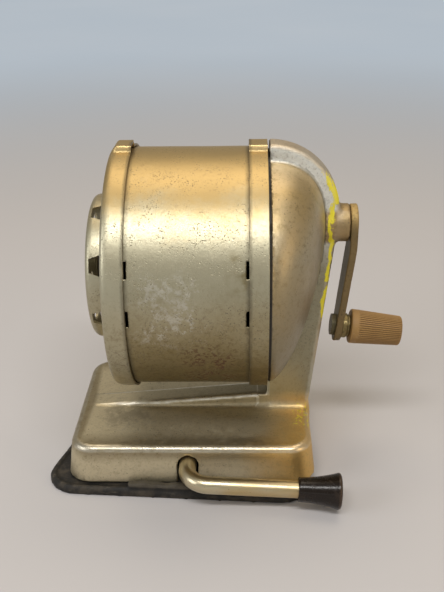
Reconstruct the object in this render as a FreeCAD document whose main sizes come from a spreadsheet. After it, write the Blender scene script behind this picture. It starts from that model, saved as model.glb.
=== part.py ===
import FreeCAD, Part
import math
import os
from types import SimpleNamespace

import Sketcher
from FreeCAD import Placement, Rotation, Vector

# Driving dimensions, in millimetres, degrees and counts. The frame has X along the drum towards the
# crank, Y away from the lever, Z up, and its origin on the underside of the suction pad.
SIZES = {
    # suction pad
    "pad_length": 104.0,
    "pad_depth": 82.0,
    "pad_thickness": 3.5,
    "pad_corner": 12.0,
    "pad_edge": 1.0,
    "pad_centre": -1.0,
    "pad_twist": 2.5,
    "tab_left": -19.5,
    "tab_width": 34.5,
    "tab_inset": 0.9,
    "tab_depth": 3.0,
    "tab_rise": 2.0,
    # base of the casting
    "base_length": 96.0,
    "base_depth": 71.0,
    "base_height": 15.0,
    "base_centre": 1.0,
    "base_draft": 6.3,
    "base_corner": 9.0,
    "base_edge": 3.5,
    "base_wall": 2.5,
    # upright web with its rib along the base
    "drum_height": 79.5,
    "crank_share": 0.377778,
    "upright_face": 30.8,
    "web_thickness": 10.0,
    "web_edge": 2.2,
    "web_rise": 3.0,
    "web_flat": 0.1,
    "web_reach": 60.1,
    "web_lean": 6.66,
    "rib_start": -42.0,
    "rib_rise": 6.3,
    "heel_inset": 2.3,
    "heel_gap": 2.55,
    # gear housing dome
    "dome_depth": 21.0,
    "dome_step": 3.0,
    "dome_top_power": 2.4,
    "dome_low_power": 1.55,
    "dome_share": 0.97,
    "dome_wall": 2.0,
    "cavity_share": 0.83,
    "bulkhead": 4.0,
    "rim_width": 1.0,
    "rim_lip": 0.5,
    "spigot_length": 5.8,
    "spigot_wall": 2.0,
    "boss_radius": 7.1,
    "boss_length": 18.8,
    "boss_reach": 30.0,
    # receptacle
    "drum_radius": 45.0,
    "drum_sheet": 0.8,
    "cap_face": -26.5,
    "cap_sheet": 0.9,
    "cap_skirt": 8.0,
    "cap_round": 3.5,
    "pencil_hole": 7.0,
    "ring_width": 6.7,
    "ring_gap": 0.6,
    "drum_inset": 0.2,
    "band_fit": 0.05,
    "spigot_fit": 0.3,
    "bump_width": 10.0,
    "bump_rise": 1.9,
    "bump_inset": 0.6,
    "bump_round": 1.6,
    "window_span": 8.0,
    "window_width": 1.2,
    "window_high": 14.0,
    "window_low": -10.6,
    # size dial and its pivot
    "dial_rim": 4.3,
    "dial_face": -35.0,
    "dial_skirt": 5.8,
    "dial_sheet": 0.9,
    "dial_round": 3.0,
    "dial_hole_1": 4.05,
    "dial_hole_2": 3.25,
    "dial_hole_3": 4.4,
    "dial_hole_4": 4.8,
    "dial_hole_5": 5.2,
    "dial_hole_6": 5.6,
    "dial_hole_7": 6.0,
    "dial_hole_8": 3.6,
    "notch_mouth": 7.5,
    "notch_floor": 5.0,
    "notch_depth": 3.2,
    "pivot_radius": 3.0,
    "pivot_head": 6.0,
    "pivot_head_depth": 1.5,
    "pivot_tail": 4.5,
    "pivot_tail_depth": 1.2,
    "spacer_radius": 6.0,
    "dish_radius": 8.0,
    "dish_sheet": 0.4,
    "dish_depth": 0.8,
    "running_fit": 0.05,
    # cutting head
    "gear_module": 1.1,
    "ring_teeth": 30,
    "pinion_teeth": 14,
    "tooth_share": 0.4,
    "tooth_lean": 20.0,
    "tooth_top": 0.75,
    "tooth_foot": 1.0,
    "pinion_width": 6.0,
    "gear_overrun": 0.4,
    "gear_inset": 2.9,
    "ring_flange": 1.5,
    "ring_flange_radius": 24.0,
    "ring_sleeve_radius": 20.5,
    "ring_flange_gap": 0.6,
    "gear_screw_count": 3,
    "gear_screw_turn": 30.0,
    "gear_screw_circle": 22.2,
    "gear_screw_radius": 1.25,
    "gear_screw_head": 1.75,
    "gear_screw_head_depth": 1.2,
    "cutter_tilt": 11.5,
    "cutter_radius": 8.0,
    "cutter_length": 24.0,
    "cutter_teeth": 12,
    "cutter_tooth": 0.9,
    "cutter_gullet": 0.75,
    "cutter_twist": 40.0,
    "cutter_gap": 1.8,
    "pinion_neck": 4.5,
    "axle_radius": 2.0,
    "axle_inset": 0.5,
    "front_plate_gap": 0.4,
    "front_plate": 3.4,
    "front_plate_radius": 21.0,
    "front_plate_bore": 7.5,
    "rear_plate_gap": 0.4,
    "rear_plate": 3.5,
    "rear_plate_radius": 13.6,
    "bridge_inner": 9.5,
    "bridge_outer": 12.5,
    "bridge_width": 8.0,
    # crank
    "shaft_radius": 4.0,
    "bush_wall": 1.2,
    "washer_radius": 6.6,
    "arm_thickness": 2.7,
    "arm_gap": 0.2,
    "arm_width": 14.0,
    "arm_straight": 9.0,
    "arm_lean": 6.5,
    "crank_radius": 43.0,
    "screw_radius": 1.6,
    "screw_length": 7.0,
    "screw_head": 5.4,
    "screw_head_depth": 1.2,
    "screw_slot": 1.0,
    "screw_slot_depth": 0.6,
    "knob_pin_radius": 2.5,
    "knob_pin_head": 4.2,
    "knob_pin_head_depth": 1.5,
    "ferrule_radius": 4.85,
    "ferrule_length": 3.0,
    "knob_gap": 0.3,
    "knob_length": 20.0,
    "knob_root": 6.75,
    "knob_tip": 5.8,
    "knob_bore_depth": 16.0,
    "knob_edge": 0.8,
    "flute_count": 30,
    "flute_radius": 0.45,
    "flute_length": 16.0,
    # suction lever and its pull
    "lever_height": 11.0,
    "lever_radius": 3.25,
    "lever_reach": 46.0,
    "lever_bend": 8.5,
    "lever_slope": 3.0,
    "lever_slot": 8.0,
    "grip_start": 41.5,
    "grip_length": 16.0,
    "grip_root": 4.5,
    "grip_tip": 6.75,
    "grip_socket": 10.0,
    "grip_crown": 1.0,
    "cam_inner": -4.6,
    "cam_thickness": 2.5,
    "cam_radius": 3.9,
    "cam_throw": 2.4,
    "cam_start": 25.0,
    "cam_pin_radius": 1.25,
    "cam_pin_length": 4.2,
    "cam_pin_fit": 0.1,
    "link_thickness": 3.0,
    "link_wall": 1.2,
    "link_width": 8.4,
    "pull_plate_radius": 20.0,
    "pull_plate_thickness": 1.2,
    "bracket_width": 20.0,
    "bracket_sheet": 1.5,
    "bracket_face": -10.0,
    "bracket_flange": 12.0,
    "bracket_drop": 9.0,
    "bracket_screw_spread": 13.0,
    "bracket_screw_radius": 1.25,
    "bracket_screw_head": 2.3,
    "bracket_screw_head_depth": 1.4,
    "bracket_screw_bite": 1.8,
}

X_AXIS = Vector(1, 0, 0)
Y_AXIS = Vector(0, 1, 0)
Z_AXIS = Vector(0, 0, 1)
HALF_TURN = 180.0
RIGHT_ANGLE = 90.0
TOUCH = 0.02
PARALLEL = 0.98
DOME_STATIONS = 8
TWIST_STATIONS = 5
FLARE_STATIONS = 5
CORNER_STATIONS = 4

doc = FreeCAD.newDocument("crank_pencil_sharpener")
sheet = doc.addObject("Spreadsheet::Sheet", "Sizes")
for row, (alias, number) in enumerate(SIZES.items(), start=1):
    sheet.set(f"A{row}", alias)
    sheet.set(f"B{row}", str(number))
    sheet.setAlias(f"B{row}", alias)
doc.recompute()


class Size:
    """A dimension as its number now and as the sheet formula that keeps it current."""

    def __init__(self, value, text):
        self.value = value
        self.text = text

    def __add__(self, other):
        other = size_of(other)
        return Size(self.value + other.value, f"({self.text} + {other.text})")

    def __sub__(self, other):
        other = size_of(other)
        return Size(self.value - other.value, f"({self.text} - {other.text})")

    def __mul__(self, other):
        other = size_of(other)
        return Size(self.value * other.value, f"({self.text} * {other.text})")

    def __truediv__(self, other):
        other = size_of(other)
        return Size(self.value / other.value, f"({self.text} / {other.text})")

    def __neg__(self):
        return Size(-self.value, f"(0 - {self.text})")

    def __rsub__(self, other):
        return size_of(other) - self

    __radd__ = __add__
    __rmul__ = __mul__


def size_of(item):
    """A plain number as a Size, and a Size as it is."""
    if isinstance(item, Size):
        return item
    return Size(float(item), f"{float(item):.9g}")


def sine(angle):
    return Size(math.sin(math.radians(angle.value)), f"sin({angle.text})")


def cosine(angle):
    return Size(math.cos(math.radians(angle.value)), f"cos({angle.text})")


def tangent(angle):
    return Size(math.tan(math.radians(angle.value)), f"tan({angle.text})")


s = SimpleNamespace(**{alias: Size(float(sheet.get(alias)), f"Sizes.{alias}") for alias in SIZES})

# Places that several pieces share
crank_rise = s.drum_radius * s.crank_share
crank_height = s.drum_height + crank_rise
base_top = s.pad_thickness + s.base_height
ceiling = base_top - s.base_wall
skirt_inner = s.drum_radius + s.band_fit
skirt_outer = skirt_inner + s.cap_sheet
bump_top = skirt_outer + s.bump_rise
ring_end = s.upright_face - s.ring_gap
drum_end = ring_end - s.drum_inset
drum_start = s.cap_face + s.cap_round
spigot_outer = s.drum_radius - s.drum_sheet - s.spigot_fit
spigot_inner = spigot_outer - s.spigot_wall
dome_rise = s.drum_radius - crank_rise - s.dome_step
dome_drop = s.drum_radius + crank_rise
dial_radius = crank_rise + s.dial_hole_7 + s.dial_rim
teeth_end = s.upright_face + s.gear_inset + s.pinion_width / 2 + s.gear_overrun
bush_radius = s.shaft_radius + s.running_fit + s.bush_wall
boss_end = s.upright_face + s.boss_reach
boss_start = boss_end - s.boss_length
arm_inner = boss_end + s.arm_gap
arm_outer = arm_inner + s.arm_thickness


def bind(thing, path, size):
    thing.setExpression(path, size_of(size).text)


def place(thing, x=0, y=0, z=0, axis=Z_AXIS, angle=0):
    """Set a piece down at a point, turned about one axis of the frame."""
    spot = [size_of(part) for part in (x, y, z)]
    corner = Vector(*(part.value for part in spot))
    thing.Placement = Placement(corner, Rotation(axis, size_of(angle).value))
    for name, part in zip("xyz", spot):
        bind(thing, f"Placement.Base.{name}", part)
    if isinstance(angle, Size):
        bind(thing, "Placement.Rotation.Angle", angle)
    return thing


def named(kind, label):
    thing = doc.addObject(kind, label)
    thing.Label = label
    return thing


# Sketches and the features made from them
def sketch_on(body, role, offset=0):
    """An empty sketch on one of a body's own origin planes, moved along the plane's normal."""
    sketch = body.newObject("Sketcher::SketchObject", f"{body.Name}_sketch")
    plane = next(part for part in body.Origin.OriginFeatures if part.Role == role)
    sketch.AttachmentSupport = [(plane, "")]
    sketch.MapMode = "FlatFace"
    bind(sketch, "AttachmentOffset.Base.z", offset)
    return sketch


def pin(sketch, kind, element, point, size):
    """Hold one coordinate of a sketch point at a sheet formula."""
    size = size_of(size)
    index = sketch.addConstraint(Sketcher.Constraint(kind, -1, 1, element, point, size.value))
    name = f"{kind}_{element}_{point}"
    sketch.renameConstraint(index, name)
    bind(sketch, f"Constraints.{name}", size)


def draw_polygon(sketch, corners):
    """A closed chain of lines with each corner pinned to its formulas."""
    spots = [Vector(size_of(along).value, size_of(across).value, 0) for along, across in corners]
    count = len(spots)
    for i in range(count):
        sketch.addGeometry(Part.LineSegment(spots[i], spots[(i + 1) % count]))
    for i in range(count):
        sketch.addConstraint(Sketcher.Constraint("Coincident", i, 2, (i + 1) % count, 1))
    for i, (along, across) in enumerate(corners):
        pin(sketch, "DistanceX", i, 1, along)
        pin(sketch, "DistanceY", i, 1, across)


def draw_circle(sketch, along, across, radius):
    spot = Vector(size_of(along).value, size_of(across).value, 0)
    element = sketch.addGeometry(Part.Circle(spot, Z_AXIS, radius.value))
    pin(sketch, "DistanceX", element, 3, along)
    pin(sketch, "DistanceY", element, 3, across)
    index = sketch.addConstraint(Sketcher.Constraint("Radius", element, radius.value))
    sketch.renameConstraint(index, f"Radius_{element}")
    bind(sketch, f"Constraints.Radius_{element}", radius)


def revolve(body, profile, kind="PartDesign::Revolution"):
    """Turn a profile of (along, radius) corners about the body's X axis, as material or as a cut."""
    sketch = sketch_on(body, "XZ_Plane")
    draw_polygon(sketch, profile)
    feature = body.newObject(kind, f"{body.Name}_turning")
    feature.Profile = sketch
    feature.ReferenceAxis = (sketch, ["H_Axis"])
    feature.Angle = 2 * HALF_TURN
    doc.recompute()
    return feature


def turned(label, profile):
    body = named("PartDesign::Body", label)
    revolve(body, profile)
    return body


def sleeve(start, end, inner, outer):
    """Profile of a tube, or of a disc when its inner radius is nought."""
    return [(start, inner), (end, inner), (end, outer), (start, outer)]


def extrude(body, sketch, length, kind="PartDesign::Pad", both_sides=False, reverse=False, taper=None):
    feature = body.newObject(kind, f"{body.Name}_extrusion")
    feature.Profile = sketch
    bind(feature, "Length", length)
    if both_sides:
        feature.SideType = "Symmetric"
    feature.Reversed = reverse
    if taper is not None:
        bind(feature, "TaperAngle", -taper)
    doc.recompute()
    return feature


def box_outline(left, right, low, high):
    return [(left, low), (right, low), (right, high), (left, high)]


def rounded(body, radius, chosen):
    """Round the edges of a body's newest feature whose middle point passes the test."""
    feature = body.Tip
    names = []
    for i, edge in enumerate(feature.Shape.Edges, start=1):
        middle = edge.valueAt((edge.FirstParameter + edge.LastParameter) / 2)
        if chosen(edge, middle):
            names.append(f"Edge{i}")
    fillet = body.newObject("PartDesign::Fillet", f"{body.Name}_round")
    fillet.Base = (feature, names)
    bind(fillet, "Radius", radius)
    doc.recompute()
    return fillet


def runs_along(edge, axis):
    """True for a straight edge that is within a few degrees of an axis."""
    if len(edge.Vertexes) < 2:
        return False
    chord = edge.Vertexes[1].Point - edge.Vertexes[0].Point
    return near(chord.Length, edge.Length) and abs(chord.dot(axis)) > PARALLEL * chord.Length


def near(value, target):
    return abs(value - target) < TOUCH


# Plain solids, used as pieces and as cutting tools
TURN_FOR_AXIS = {"x": (Y_AXIS, RIGHT_ANGLE), "y": (X_AXIS, -RIGHT_ANGLE), "z": (Z_AXIS, 0)}


def rod(label, radius, length, along, x=0, y=0, z=0):
    """A cylinder from a point, along one axis of the frame."""
    cylinder = named("Part::Cylinder", label)
    bind(cylinder, "Radius", radius)
    bind(cylinder, "Height", length)
    axis, angle = TURN_FOR_AXIS[along]
    return place(cylinder, x, y, z, axis, angle)


def block(label, x_span, y_span, z_span):
    """A box between pairs of coordinates."""
    box = named("Part::Box", label)
    spans = [(size_of(low), size_of(high)) for low, high in (x_span, y_span, z_span)]
    for side, (low, high) in zip(("Length", "Width", "Height"), spans):
        bind(box, side, high - low)
    return place(box, *(low for low, _ in spans))


def joined(label, pieces):
    fuse = named("Part::MultiFuse", label)
    fuse.Shapes = pieces
    return fuse


def cut_from(label, base, tools):
    cut = named("Part::Cut", label)
    cut.Base = base
    cut.Tool = tools[0] if len(tools) == 1 else joined(f"{label}_cuts", tools)
    return cut


def shaped(label, shape, placement=None):
    """A piece whose form only a loft or a repeated cut can give."""
    feature = named("Part::Feature", label)
    feature.Shape = shape
    if placement is not None:
        feature.Placement = placement
    return feature


# Suction pad: a rubber mat with a pull tab in front of the casting
def make_suction_pad():
    body = named("PartDesign::Body", "suction_pad")
    half_length = s.pad_length / 2
    half_depth = s.pad_depth / 2
    sketch = sketch_on(body, "XY_Plane")
    draw_polygon(sketch, box_outline(-half_length, half_length, -half_depth, half_depth))
    extrude(body, sketch, s.pad_thickness)
    rounded(body, s.pad_corner, lambda edge, middle: runs_along(edge, Z_AXIS))
    rounded(body, s.pad_edge, lambda edge, middle: near(middle.z, s.pad_thickness.value))
    tab_front = -half_depth + s.tab_inset
    tab = sketch_on(body, "XY_Plane")
    tab_left = s.tab_left - s.pad_centre
    draw_polygon(tab, box_outline(tab_left, tab_left + s.tab_width, tab_front, tab_front + s.tab_depth))
    tab_top = s.pad_thickness + s.tab_rise
    extrude(body, tab, tab_top)
    rounded(body, s.pad_edge, lambda edge, middle: near(middle.z, tab_top.value))
    place(body, s.pad_centre, 0, 0, -Z_AXIS, s.pad_twist)


# Casting: base, rib, upright web, gear housing dome and bearing boss in one piece
def base_form(label, inset, height):
    """A box with drafted sides, standing on the pad."""
    body = named("PartDesign::Body", label)
    half_length = s.base_length / 2 - inset
    half_depth = s.base_depth / 2 - inset
    sketch = sketch_on(body, "XY_Plane")
    draw_polygon(sketch, box_outline(-half_length, half_length, -half_depth, half_depth))
    extrude(body, sketch, height, taper=s.base_draft)
    rounded(body, s.base_corner - inset, lambda edge, middle: runs_along(edge, Z_AXIS))
    return place(body, s.base_centre, 0, s.pad_thickness)


def web_form():
    """The upright's outline in the drum's middle plane, with its rib over the base."""
    body = named("PartDesign::Body", "upright_web")
    sketch = sketch_on(body, "XZ_Plane")
    heel = s.upright_face - s.heel_inset
    heel_top = s.drum_height - skirt_outer - s.heel_gap
    web_top = s.drum_height + s.drum_radius + s.web_rise
    web_foot = s.web_reach - (web_top - s.lever_height) * tangent(s.web_lean)
    outline = [
        (s.rib_start, s.lever_height),
        (s.rib_start, base_top),
        (heel, base_top + s.rib_rise),
        (heel, heel_top),
        (s.upright_face, heel_top),
        (s.upright_face, web_top),
        (s.web_reach, web_top),
        (web_foot, s.lever_height),
    ]
    draw_polygon(sketch, outline)
    extrude(body, sketch, s.web_thickness, both_sides=True)
    corner = s.web_reach.value
    room = s.web_reach - s.upright_face - s.web_flat
    web_round = room * tangent((RIGHT_ANGLE - s.web_lean) / 2)
    rounded(body, web_round, lambda edge, middle: runs_along(edge, Y_AXIS) and near(middle.x, corner))
    side = s.web_thickness.value / 2
    crank = crank_height.value

    def outer_edge(edge, middle):
        on_side = near(abs(middle.y), side)
        right_edge = middle.x > web_foot.value and middle.z < crank
        return on_side and (right_edge or middle.z > crank) and not near(middle.x, s.upright_face.value)

    rounded(body, s.web_edge, outer_edge)
    return body


def dome_circle(share, inset):
    """One circle of the dome, at a share of its depth.

    The top and bottom of the circle follow two superellipse quarters about the crank's axis.
    """
    top_power = s.dome_top_power.value
    low_power = s.dome_low_power.value
    top = dome_rise.value * (1 - share ** top_power) ** (1 / top_power)
    low = dome_drop.value * (1 - share ** low_power) ** (1 / low_power)
    centre = Vector(
        s.upright_face.value + share * s.dome_depth.value,
        0,
        crank_height.value + (top - low) / 2,
    )
    return Part.Wire(Part.makeCircle((top + low) / 2 - inset, centre, X_AXIS))


def dome_form(label, first, last, inset):
    """A loft through circles spaced evenly by the arc sine of their share."""
    first_angle = math.asin(first)
    step = (math.asin(last) - first_angle) / (DOME_STATIONS - 1)
    shares = [math.sin(first_angle + step * k) for k in range(DOME_STATIONS)]
    return shaped(label, Part.makeLoft([dome_circle(share, inset) for share in shares], True))


def lever_slot_tools():
    """An arched slot through the front wall, open at the bottom."""
    half = s.lever_slot / 2
    front = -s.base_depth / 2
    back = front + 2 * s.base_wall
    arch = rod("slot_arch", half, back - front, "y", 0, front, s.lever_height)
    return [arch, block("slot_leg", (-half, half), (front, back), (0, s.lever_height))]


def gear_screw_spots():
    """Centres of the ring gear's screws about the crank's axis."""
    count = int(s.gear_screw_count.value)
    for k in range(count):
        angle = math.radians(s.gear_screw_turn.value + 2 * HALF_TURN * k / count)
        yield s.gear_screw_circle * math.cos(angle), crank_height + s.gear_screw_circle * math.sin(angle)


def bracket_screw_spots():
    depth = s.bracket_face - s.bracket_flange / 2
    for side in (-0.5, 0.5):
        yield s.bracket_screw_spread * side, depth


def make_frame_casting():
    base = base_form("base_block", 0, s.base_height)
    rounded(base, s.base_edge, lambda edge, middle: near(middle.z, s.base_height.value))
    hollow = base_form("base_hollow", s.base_wall, s.base_height - s.base_wall)
    dome = dome_form("dome_outside", 0.0, s.dome_share.value, 0.0)
    cavity_start = s.bulkhead.value / s.dome_depth.value
    cavity = dome_form("dome_inside", cavity_start, s.cavity_share.value, s.dome_wall.value)
    rim_end = s.upright_face + s.rim_width
    rim = turned("dome_rim", sleeve(s.upright_face, rim_end, 0, s.drum_radius + s.rim_lip))
    spigot_start = s.upright_face - s.spigot_length
    spigot = turned("spigot", sleeve(spigot_start, rim_end, spigot_inner, spigot_outer))
    for ring in (rim, spigot):
        place(ring, z=s.drum_height)
    boss = rod("bearing_boss", s.boss_radius, s.boss_length, "x", boss_start, 0, crank_height)
    boss_bore = rod("boss_bore", bush_radius, s.boss_length, "x", boss_start, 0, crank_height)
    reach = teeth_end - s.upright_face
    gear_bore = rod("gear_bore", s.ring_sleeve_radius, reach, "x", s.upright_face, 0, crank_height)
    casting = joined("casting_solid", [base, web_form(), dome, rim, spigot])
    hollowed = cut_from("casting_hollowed", casting, [hollow, cavity])
    bossed = joined("casting_bossed", [hollowed, boss])
    tools = [boss_bore, gear_bore] + lever_slot_tools()
    for k, (y, z) in enumerate(gear_screw_spots()):
        radius = s.gear_screw_radius
        tools.append(rod(f"gear_screw_hole_{k}", radius, s.bulkhead, "x", s.upright_face, y, z))
    for k, (x, y) in enumerate(bracket_screw_spots()):
        radius = s.bracket_screw_radius
        tools.append(rod(f"bracket_hole_{k}", radius, s.bracket_screw_bite, "z", x, y, ceiling))
    cut_from("frame_casting", bossed, tools)


# Receptacle: a sheet drum between a front cap and a rear ring
def make_receptacle_drum():
    inner = s.drum_radius - s.drum_sheet
    tube = turned("drum_tube", sleeve(drum_start, drum_end, inner, s.drum_radius))
    place(tube, z=s.drum_height)
    skirt_end = s.cap_face + s.cap_skirt
    ring_start = ring_end - s.ring_width
    windows = []
    for start in (skirt_end, ring_start - s.window_width):
        for lowest in (s.window_high, s.window_low):
            for side in (HALF_TURN, 0):
                wedge = named("Part::Cylinder", f"window_{len(windows)}")
                bind(wedge, "Radius", s.drum_radius + s.drum_sheet)
                bind(wedge, "Height", s.window_width)
                bind(wedge, "Angle", s.window_span)
                edge = lowest.value if side == 0 else side - lowest.value - s.window_span.value
                turn = Rotation(X_AXIS, edge) * Rotation(Vector(1, 1, 1), 120)
                wedge.Placement = Placement(Vector(start.value, 0, s.drum_height.value), turn)
                bind(wedge, "Placement.Base.x", start)
                bind(wedge, "Placement.Base.z", s.drum_height)
                windows.append(wedge)
    cut_from("receptacle_drum", tube, windows)


def blind_bore(start, end, radius, corner):
    """Profile of a bore with a floor, whose rounded corner is a chain of short chords on an arc."""
    profile = [(end, 0), (start, 0)]
    for k in range(CORNER_STATIONS + 1):
        angle = math.pi / 2 * k / CORNER_STATIONS
        along = start + corner * (1 - math.cos(angle))
        profile.append((along, radius - corner * (1 - math.sin(angle))))
    return profile + [(end, radius)]


def banded_cover(label, start, end, bump_start, closed):
    """A pressed cover round the drum with a hollow raised bump on top, in line with the upright."""
    body = named("PartDesign::Body", label)
    revolve(body, sleeve(start, end, 0, skirt_outer))
    if closed:
        rounded(body, s.cap_round, lambda edge, middle: near(middle.x, start.value))
    half = s.bump_width / 2
    bump = sketch_on(body, "YZ_Plane", bump_start)
    draw_polygon(bump, box_outline(-half, half, s.drum_radius - s.cap_round, bump_top))
    extrude(body, bump, end - bump_start)

    def bump_edge(edge, middle):
        front = closed and near(middle.x, bump_start.value)
        return near(middle.z, bump_top.value) and (runs_along(edge, X_AXIS) or front)

    rounded(body, s.bump_round, bump_edge)
    inside = sleeve(start, end, 0, skirt_inner)
    if closed:
        inside = blind_bore(start + s.cap_sheet, end, skirt_inner, s.cap_round - s.cap_sheet)
    revolve(body, inside, "PartDesign::Groove")
    hollow_start = bump_start + s.cap_sheet if closed else start
    hollow_half = half - s.cap_sheet
    hollow_top = bump_top - s.cap_sheet
    hollow = sketch_on(body, "YZ_Plane", hollow_start)
    draw_polygon(hollow, box_outline(-hollow_half, hollow_half, s.drum_radius - s.cap_round, hollow_top))
    extrude(body, hollow, end - hollow_start, "PartDesign::Pocket", reverse=True)
    return place(body, z=s.drum_height)


def make_front_cap():
    end = s.cap_face + s.cap_skirt
    body = banded_cover("front_cap", s.cap_face, end, s.cap_face + s.bump_inset, True)
    holes = sketch_on(body, "YZ_Plane", s.cap_face)
    draw_circle(holes, 0, crank_rise, s.pencil_hole)
    draw_circle(holes, 0, 0, s.pivot_radius)
    extrude(body, holes, s.cap_sheet, "PartDesign::Pocket", reverse=True)


def make_rear_ring():
    start = ring_end - s.ring_width
    banded_cover("rear_ring", start, ring_end, start, False)


# Size dial with its pivot
def make_size_dial():
    end = s.dial_face + s.dial_skirt
    inner = dial_radius - s.dial_sheet
    floor = s.dial_face + s.dial_sheet
    cup = [
        (s.dial_face, 0),
        (s.dial_face, dial_radius),
        (end, dial_radius),
        (end, inner),
        (floor, inner),
        (floor, 0),
    ]
    body = turned("size_dial", cup)
    rounded(body, s.dial_round, lambda edge, middle: near(middle.x, s.dial_face.value))

    def inside_corner(edge, middle):
        return near(middle.x, floor.value) and middle.Length > inner.value

    rounded(body, s.dial_round - s.dial_sheet, inside_corner)
    holes = sketch_on(body, "YZ_Plane", s.dial_face)
    draw_circle(holes, 0, 0, s.pivot_radius + s.running_fit)
    radii = [getattr(s, f"dial_hole_{k}") for k in range(1, 9)]
    half_pitch = HALF_TURN / len(radii)
    for k, radius in enumerate(radii):
        angle = math.radians(RIGHT_ANGLE - half_pitch + 2 * half_pitch * k)
        draw_circle(holes, crank_rise * math.cos(angle), crank_rise * math.sin(angle), radius)
    extrude(body, holes, s.dial_sheet, "PartDesign::Pocket", reverse=True)
    notch = sketch_on(body, "XY_Plane")
    notch_end = end - s.notch_depth
    corners = [
        (end, -s.notch_mouth / 2),
        (end, s.notch_mouth / 2),
        (notch_end, s.notch_floor / 2),
        (notch_end, -s.notch_floor / 2),
    ]
    draw_polygon(notch, corners)
    first = extrude(body, notch, dial_radius, "PartDesign::Pocket", reverse=True)
    pattern = body.newObject("PartDesign::PolarPattern", "dial_notches")
    pattern.Originals = [first]
    pattern.Axis = (next(part for part in body.Origin.OriginFeatures if part.Role == "X_Axis"), [""])
    pattern.Angle = 2 * HALF_TURN
    pattern.Occurrences = len(radii)
    body.Tip = pattern
    place(body, z=s.drum_height, axis=X_AXIS, angle=half_pitch)


def make_dial_pivot():
    head = s.dial_face - s.running_fit
    tail = s.cap_face + s.cap_sheet
    rivet = [
        (head - s.pivot_head_depth, 0),
        (head - s.pivot_head_depth, s.pivot_head - s.pivot_head_depth / 2),
        (head - s.pivot_head_depth / 2, s.pivot_head),
        (head, s.pivot_head),
        (head, s.pivot_radius),
        (tail, s.pivot_radius),
        (tail, s.pivot_tail),
        (tail + s.pivot_tail_depth, s.pivot_tail),
        (tail + s.pivot_tail_depth, 0),
    ]
    dish_start = s.dial_face + s.dial_sheet + s.running_fit
    dish_end = dish_start + s.dish_depth
    bore = s.pivot_radius + s.running_fit
    dish = [
        (dish_start, s.dish_radius),
        (dish_start + s.dish_sheet, s.dish_radius),
        (dish_end, bore),
        (dish_end - s.dish_sheet, bore),
    ]
    pieces = [
        turned("dial_rivet", rivet),
        turned("dial_spring", dish),
        turned("dial_spacer", sleeve(dish_end, s.cap_face, bore, s.spacer_radius)),
    ]
    for piece in pieces:
        place(piece, z=s.drum_height)


# Gear pair: a fixed internal ring and two pinions whose pitch cones meet at one apex
def gear_cones():
    """Pitch radius of the ring, and the apex and cone distances that the tilt and teeth give."""
    tilt = math.radians(s.cutter_tilt.value)
    ratio = s.ring_teeth.value / s.pinion_teeth.value
    pinion_cone = math.atan(math.sin(tilt) / (ratio - math.cos(tilt)))
    ring_cone = pinion_cone + tilt
    ring_radius = s.gear_module.value * s.ring_teeth.value / 2
    cone_length = ring_radius / math.sin(ring_cone)
    gear_x = s.upright_face.value + s.gear_inset.value
    return SimpleNamespace(
        tilt=tilt,
        ring_radius=ring_radius,
        pinion_radius=ring_radius / ratio,
        ring_distance=cone_length * math.cos(ring_cone),
        pinion_distance=cone_length * math.cos(pinion_cone),
        apex=gear_x + cone_length * math.cos(ring_cone),
    )


cones = gear_cones()


def toothed_wire(teeth, inner, inner_half, outer, outer_half, scale, along):
    """Closed outline of straight-flanked lobes in a plane square to X, the first one pointing up.

    Half widths are measured along the circle; each lobe has two inner and two outer corners.
    """
    spots = []
    for k in range(int(teeth)):
        middle = math.pi / 2 + 2 * math.pi * k / teeth
        flanks = ((inner, -inner_half), (outer, -outer_half), (outer, outer_half), (inner, inner_half))
        for radius, half in flanks:
            angle = middle + half / radius
            reach = scale * radius
            spots.append(Vector(along, reach * math.cos(angle), reach * math.sin(angle)))
    return Part.makePolygon(spots + spots[:1])


def tooth_half(outward):
    """Half the thickness of a tooth at a distance from the pitch circle towards its tip."""
    pitch = math.pi * s.gear_module.value
    return pitch * s.tooth_share.value / 2 - outward * math.tan(math.radians(s.tooth_lean.value))


def make_ring_gear():
    flange_start = s.upright_face - s.ring_flange
    disc = rod("ring_disc", s.ring_flange_radius, s.ring_flange, "x", flange_start, 0, crank_height)
    room_radius = spigot_inner - s.ring_flange_gap
    room = rod("ring_room", room_radius, s.ring_flange, "x", flange_start, 0, s.drum_height)
    flange = named("Part::MultiCommon", "ring_flange")
    flange.Shapes = [disc, room]
    sleeve_length = teeth_end - s.upright_face
    body = rod("ring_sleeve", s.ring_sleeve_radius, sleeve_length, "x", s.upright_face, 0, crank_height)
    blank = joined("ring_blank", [flange, body])
    teeth = s.ring_teeth.value
    radius = cones.ring_radius
    inner = radius - s.tooth_top.value
    outer = radius + s.tooth_foot.value
    inner_half = math.pi * inner / teeth - tooth_half(s.tooth_top.value)
    outer_half = math.pi * outer / teeth - tooth_half(-s.tooth_foot.value)
    wires = []
    for along in (flange_start.value, teeth_end.value):
        scale = (cones.apex - along) / cones.ring_distance
        wires.append(toothed_wire(teeth, inner, inner_half, outer, outer_half, scale, along))
    opening = shaped("ring_opening", Part.makeLoft(wires, True, True))
    opening.Placement = Placement(Vector(0, 0, crank_height.value), Rotation())
    tools = [opening]
    for k, (y, z) in enumerate(gear_screw_spots()):
        tools.append(rod(f"ring_hole_{k}", s.gear_screw_radius, s.ring_flange, "x", flange_start, y, z))
    cut_from("ring_gear", blank, tools)


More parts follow.
